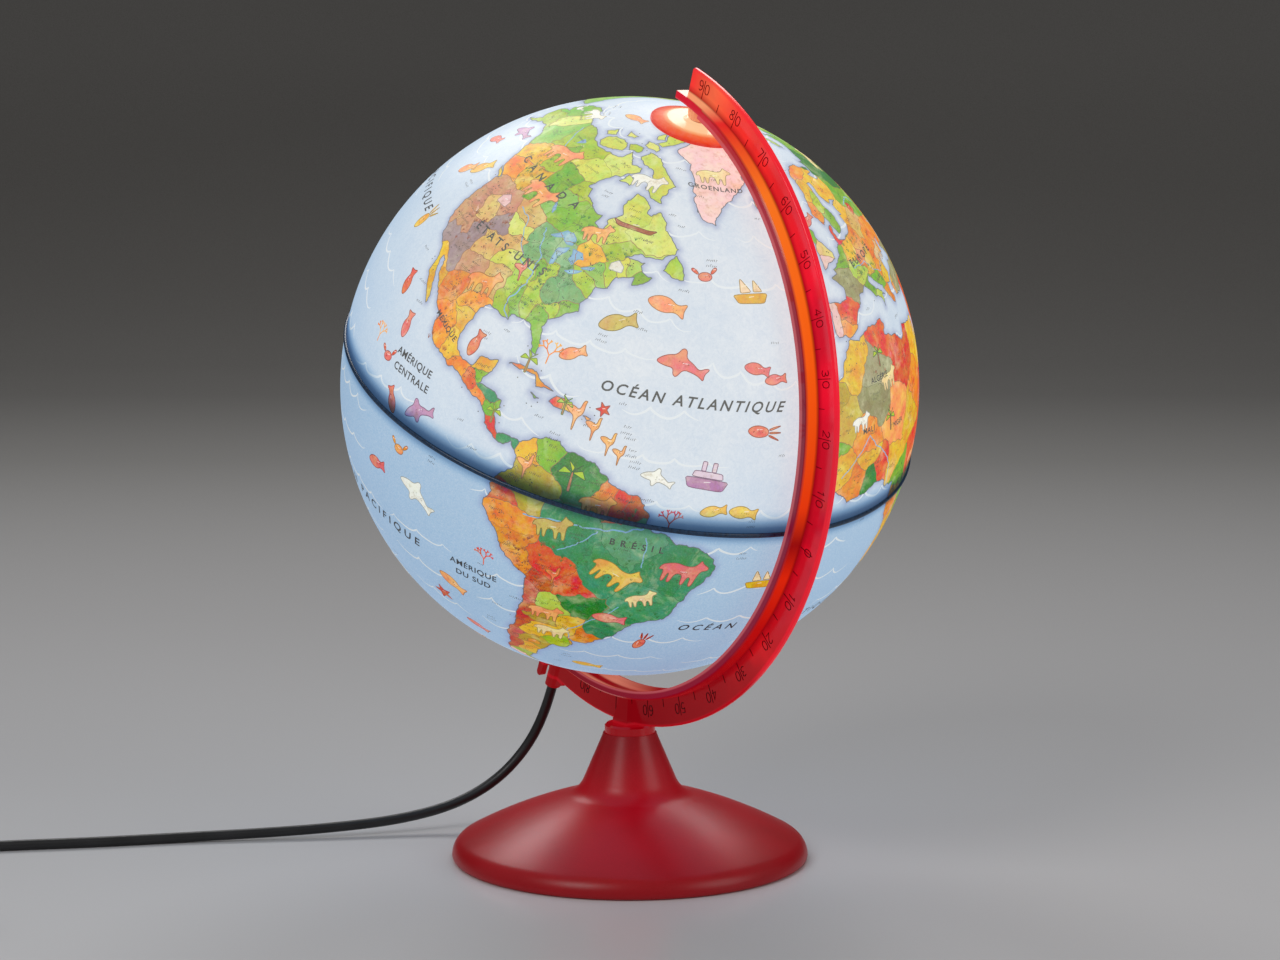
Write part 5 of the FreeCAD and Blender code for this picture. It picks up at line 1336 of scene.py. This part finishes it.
def make_scale():
    """Raised degree scale on both faces of the web: a mark each 5 degrees, a number each 10."""
    verts, faces = [], []

    def stroke(points, closed, width, place):
        """Closed raised strip along flat points; place turns (x, y, height) into a vertex."""
        start, count = len(verts), len(points)
        for i, p in enumerate(points):
            before = Vector(points[i - 1] if i or closed else p)
            after = Vector(points[(i + 1) % count] if i < count - 1 or closed else p)
            to, back = (after - Vector(p)), (Vector(p) - before)
            to = to.normalized() if to.length else back.normalized()
            back = back.normalized() if back.length else to
            run = (to + back).normalized() if (to + back).length > 0.3 else to
            wide = width / 2 / max(0.55, abs(run.dot(to)))
            side = Vector((-run.y, run.x)) * wide
            for sign, lift, share in ((-1, -0.1, 1), (1, -0.1, 1), (1, 0.15, 0.75), (-1, 0.15, 0.75)):
                q = Vector(p) + side * sign * share
                verts.append(place(q.x, q.y, lift))
        spans = count if closed else count - 1
        for i in range(spans):
            a, b = start + 4 * i, start + 4 * ((i + 1) % count)
            for k in range(4):
                faces.append((a + k, a + (k + 1) % 4, b + (k + 1) % 4, b + k))
        if not closed:
            end = start + 4 * (count - 1)
            faces.append((start + 3, start + 2, start + 1, start))
            faces.append((end, end + 1, end + 2, end + 3))

    for side in (-1, 1):
        for step in range(-18, 19):
            degrees = EQUATOR_AT + 5 * step
            if not SCALE_ENDS[0] < degrees < SCALE_ENDS[1]:
                continue
            inner = on_arc(CHANNEL_ARC, degrees).length
            outer = on_arc(WEB_ARC, degrees).length
            ray = Vector((math.cos(math.radians(degrees)), 0, math.sin(math.radians(degrees))))
            right = Vector((0, side, 0)).cross(ray) * -1

            def place(x, y, lift, ray=ray, right=right, side=side):
                return tuple((ray * y + right * x + Vector((0, side * (FACE_Y + lift), 0))) * MM + CENTRE)

            if step % 2:
                stroke([(0, inner + 0.1), (0, inner + 3.6)], False, 0.34, place)
                continue
            stroke([(0, inner + 0.1), (0, min(inner + 8.2, outer - 1.4))], False, 0.34, place)
            if abs(degrees - FORK_AT) < 4:
                continue
            for number, digit in enumerate(f"{abs(step) * 5}"):
                shift = 0.0 if step == 0 else (-1 if number == 0 else 1) * 2.3
                points = [(shift + x * DIGIT_SIZE, inner + 5.1 + y * DIGIT_SIZE) for x, y in DIGITS[digit]]
                stroke(points, digit in "08", 0.4, place)
    piece("degree_scale", verts, faces, scale_material(), "stand", angle=30)


# ---- base -----------------------------------------------------------------------------------------
def frosted_material():
    n = Nodes("base_frosted_red")
    z = n.add("SeparateXYZ", {0: n.coord}).outputs[2]
    grain = n.noise(1400.0, 3.0, 0.6)
    cloud = n.noise(30.0, 4.0)
    col = n.mix(n.range(cloud, 0.35, 0.7), srgb(140, 0, 10), srgb(160, 0, 18))
    col = n.mix(n.range(grain, 0.35, 0.65, 0.0, 0.12), col, srgb(214, 26, 46))
    # Painted shade: darker in the lowest 12 mm.
    col = n.mix(n.range(z, 0.012, 0.0, 0.0, 0.5), col, srgb(112, 0, 8))
    # Painted glow: the emission is brightest 32 to 34 mm up and dimmer below and above.
    glow = n.mix(n.range(z, 0.008, 0.032, smooth=True), srgb(120, 0, 8), srgb(168, 0, 22))
    glow = n.mix(n.range(z, 0.034, 0.052), glow, srgb(110, 0, 10))
    return n.finish({
        "Base Color": col, "Roughness": n.range(grain, 0.3, 0.7, 0.3, 0.4), "Specular IOR Level": 0.36,
        "Emission Color": glow, "Emission Strength": 0.3,
        "Normal": n.bump(grain, 0.1)})


def make_base():
    rim_end, dish_end, dish_r = 61.3, 73.0, 226

    def line(inset):
        """Rim and dish, from the edge inward; the dish is tangent to the end of the rim's arc."""
        rim = on_circle(69.85, 1.8, 8.55 - inset, [math.radians(a) for a in between(0, rim_end, 14)])
        a = math.radians(rim_end)
        cx, cz = 73.96 - dish_r * math.cos(a), 9.30 - dish_r * math.sin(a)
        return rim + on_circle(cx, cz, dish_r - inset, [math.radians(a) for a in between(rim_end, dish_end, 30)])[1:]

    outer, inner = line(0.0), line(2.2)
    outer += fillet_line([outer[-1], (22.75, 29.65), (12.35, 54.2), (11.7, 56.0)], [0, 13.0, 0, 0], 16)[1:]
    inner += fillet_line([inner[-1], (20.4, 27.9), (9.3, 56.0)], [0, 7.0, 0], 6)[1:]
    profile = []
    for p in [(76.2, 0.4), (77.5, 0.4), (78.1, 0.9)] + outer + inner[::-1] + [(76.2, 1.8)]:
        if not profile or (Vector(p) - Vector(profile[-1])).length > 1e-3:
            profile.append(p)
    verts, faces = lathe(profile, 200)
    piece("base_dish", verts, faces, frosted_material(), "stand",
          replaces=["base_shell"], angle=40)


def plain(name, colour, roughness, metallic=0.0, fine_scale=500.0, spread=0.12, **extra):
    """Small-part finish: fine grain in colour, roughness and relief."""
    n = Nodes(name)
    fine = n.noise(fine_scale, 4.0)
    wide = n.noise(fine_scale / 12, 3.0)
    darker = tuple(c * (1 - spread * 1.6) for c in colour[:3]) + (1,)
    lighter = tuple(min(1.0, c * (1 + spread)) for c in colour[:3]) + (1,)
    col = n.mix(n.range(wide, 0.3, 0.7), darker, lighter)
    inputs = {"Base Color": col, "Metallic": metallic, "Normal": n.bump(fine, 0.08),
              "Roughness": n.range(fine, 0.3, 0.7, max(0.02, roughness - 0.07), roughness + 0.07)}
    inputs.update({key.replace("_", " "): value for key, value in extra.items()})
    return n.finish(inputs)


def make_tie():
    """Strap round the put-away turns, with its buckle on top."""
    radial = Vector((math.cos(TIE_HEADING), math.sin(TIE_HEADING), 0))
    across = Vector((-radial.y, radial.x, 0))
    middle = Vector((*COIL_CENTRE, 0)) + radial * COIL_R
    bend, high, thick = 2.55, 10.3, 0.42
    # The four turns below and the three on top, as the strap's corners: centre and first and last angle.
    loop = []
    for cx, cz, first, last in ((7.05, 3.05, -90, 45), (2.35, 7.75, 45, 90), (-7.05, 7.75, 90, 180),
                                (-7.05, 3.05, 180, 270)):
        loop += [(cx, cz, math.cos(math.radians(a)), math.sin(math.radians(a))) for a in between(first, last, 8)]
    verts, faces = [], []
    section = [(-2.3, 0.0), (2.3, 0.0), (2.5, 0.1), (2.5, thick - 0.1), (2.3, thick), (-2.3, thick),
               (-2.5, thick - 0.1), (-2.5, 0.1)]
    for cx, cz, dx, dz in loop:
        for wide, out in section:
            spot = middle + radial * (cx + dx * (bend + out)) + across * wide
            verts.append(tuple(Vector((spot.x, spot.y, cz + dz * (bend + out))) * MM))
    rows, cols = len(loop), len(section)
    for i in range(rows):
        for k in range(cols):
            j, m = (i + 1) % rows, (k + 1) % cols
            faces.append((i * cols + k, i * cols + m, j * cols + m, j * cols + k))
    start = len(verts)
    buckle = [(-3.4, 0.0, 3.2), (-3.4, 0.9, 3.2), (-2.6, 1.6, 2.4), (2.6, 1.6, 2.4), (3.4, 0.9, 3.2), (3.4, 0.0, 3.2)]
    for wide, up, half in buckle:
        for s in (-1, 1):
            spot = middle + radial * (half * s - 2.35) + across * wide
            verts.append(tuple(Vector((spot.x, spot.y, high + thick - 0.1 + up)) * MM))
    for i in range(len(buckle) - 1):
        a = start + 2 * i
        faces.append((a, a + 1, a + 3, a + 2))
    last = start + 2 * (len(buckle) - 1)
    faces.append((last, last + 1, start + 1, start))
    faces.append(tuple(start + 2 * i for i in range(len(buckle))))
    faces.append(tuple(start + 2 * i + 1 for i in reversed(range(len(buckle)))))
    piece("coil_tie", verts, faces, plain("tie_rubber", srgb(34, 34, 36), 0.55), "stand")


def dress_cad_nodes():
    """Better finishes on the CAD nodes that show."""
    steel = plain("zinc_steel", (0.56, 0.57, 0.6), 0.32, 1.0)
    brass = plain("turned_brass", (0.78, 0.58, 0.24), 0.26, 1.0)
    nickel = plain("nickel", (0.74, 0.72, 0.68), 0.18, 1.0)
    black = plain("black_moulding", srgb(22, 22, 24), 0.4)
    white = plain("white_moulding", srgb(232, 230, 224), 0.42, spread=0.04)
    pad = plain("pad_foam", srgb(38, 38, 40), 0.8, fine_scale=1500.0)
    # The clear red finish has a painted glow from its emission.
    clear = plain("collar_clear_red", srgb(140, 0, 14), 0.12, fine_scale=200.0, Transmission_Weight=0.1,
                  IOR=1.49, Coat_Weight=0.12, Specular_IOR_Level=0.3, Emission_Color=srgb(160, 2, 16),
                  Emission_Strength=0.45)
    glass = plain("opal_glass", srgb(250, 246, 236), 0.2, spread=0.02, Emission_Strength=0.6,
                  Emission_Color=srgb(255, 240, 214))
    finishes = {
        "base_weight": steel, "base_cover": black, "foot_pad": pad, "stem_screw": steel, "stem_washer": steel,
        "neck_collar": clear, "meridian_arm": arm_material(), "north_pivot_pin": steel, "north_bush": white,
        "south_bush": clear, "lamp_seat": clear, "nipple": brass, "nipple_nut": brass, "lampholder_cap": black,
        "lampholder_body": black, "lampholder_shell": brass, "lampholder_contacts": brass, "bulb_cap": nickel,
        "bulb_contact": nickel, "bulb_glass": glass, "bulb_filament": nickel, "inner_cable": PVC,
        "lamp_leads": white, "cord_grip": white, "switch_base": black, "switch_cover": black,
        "switch_rocker": black, "switch_pin": steel, "switch_screws": steel, "switch_terminals": brass,
        "plug_body": black, "plug_pins": nickel,
    }
    for node, mat in finishes.items():
        obj = bpy.data.objects[node]
        for slot in obj.material_slots:
            slot.link = "OBJECT"
            slot.material = mat


make_map()
make_seam()
make_cap()
make_boss()
make_scale()
make_base()
make_tie()
dress_cad_nodes()
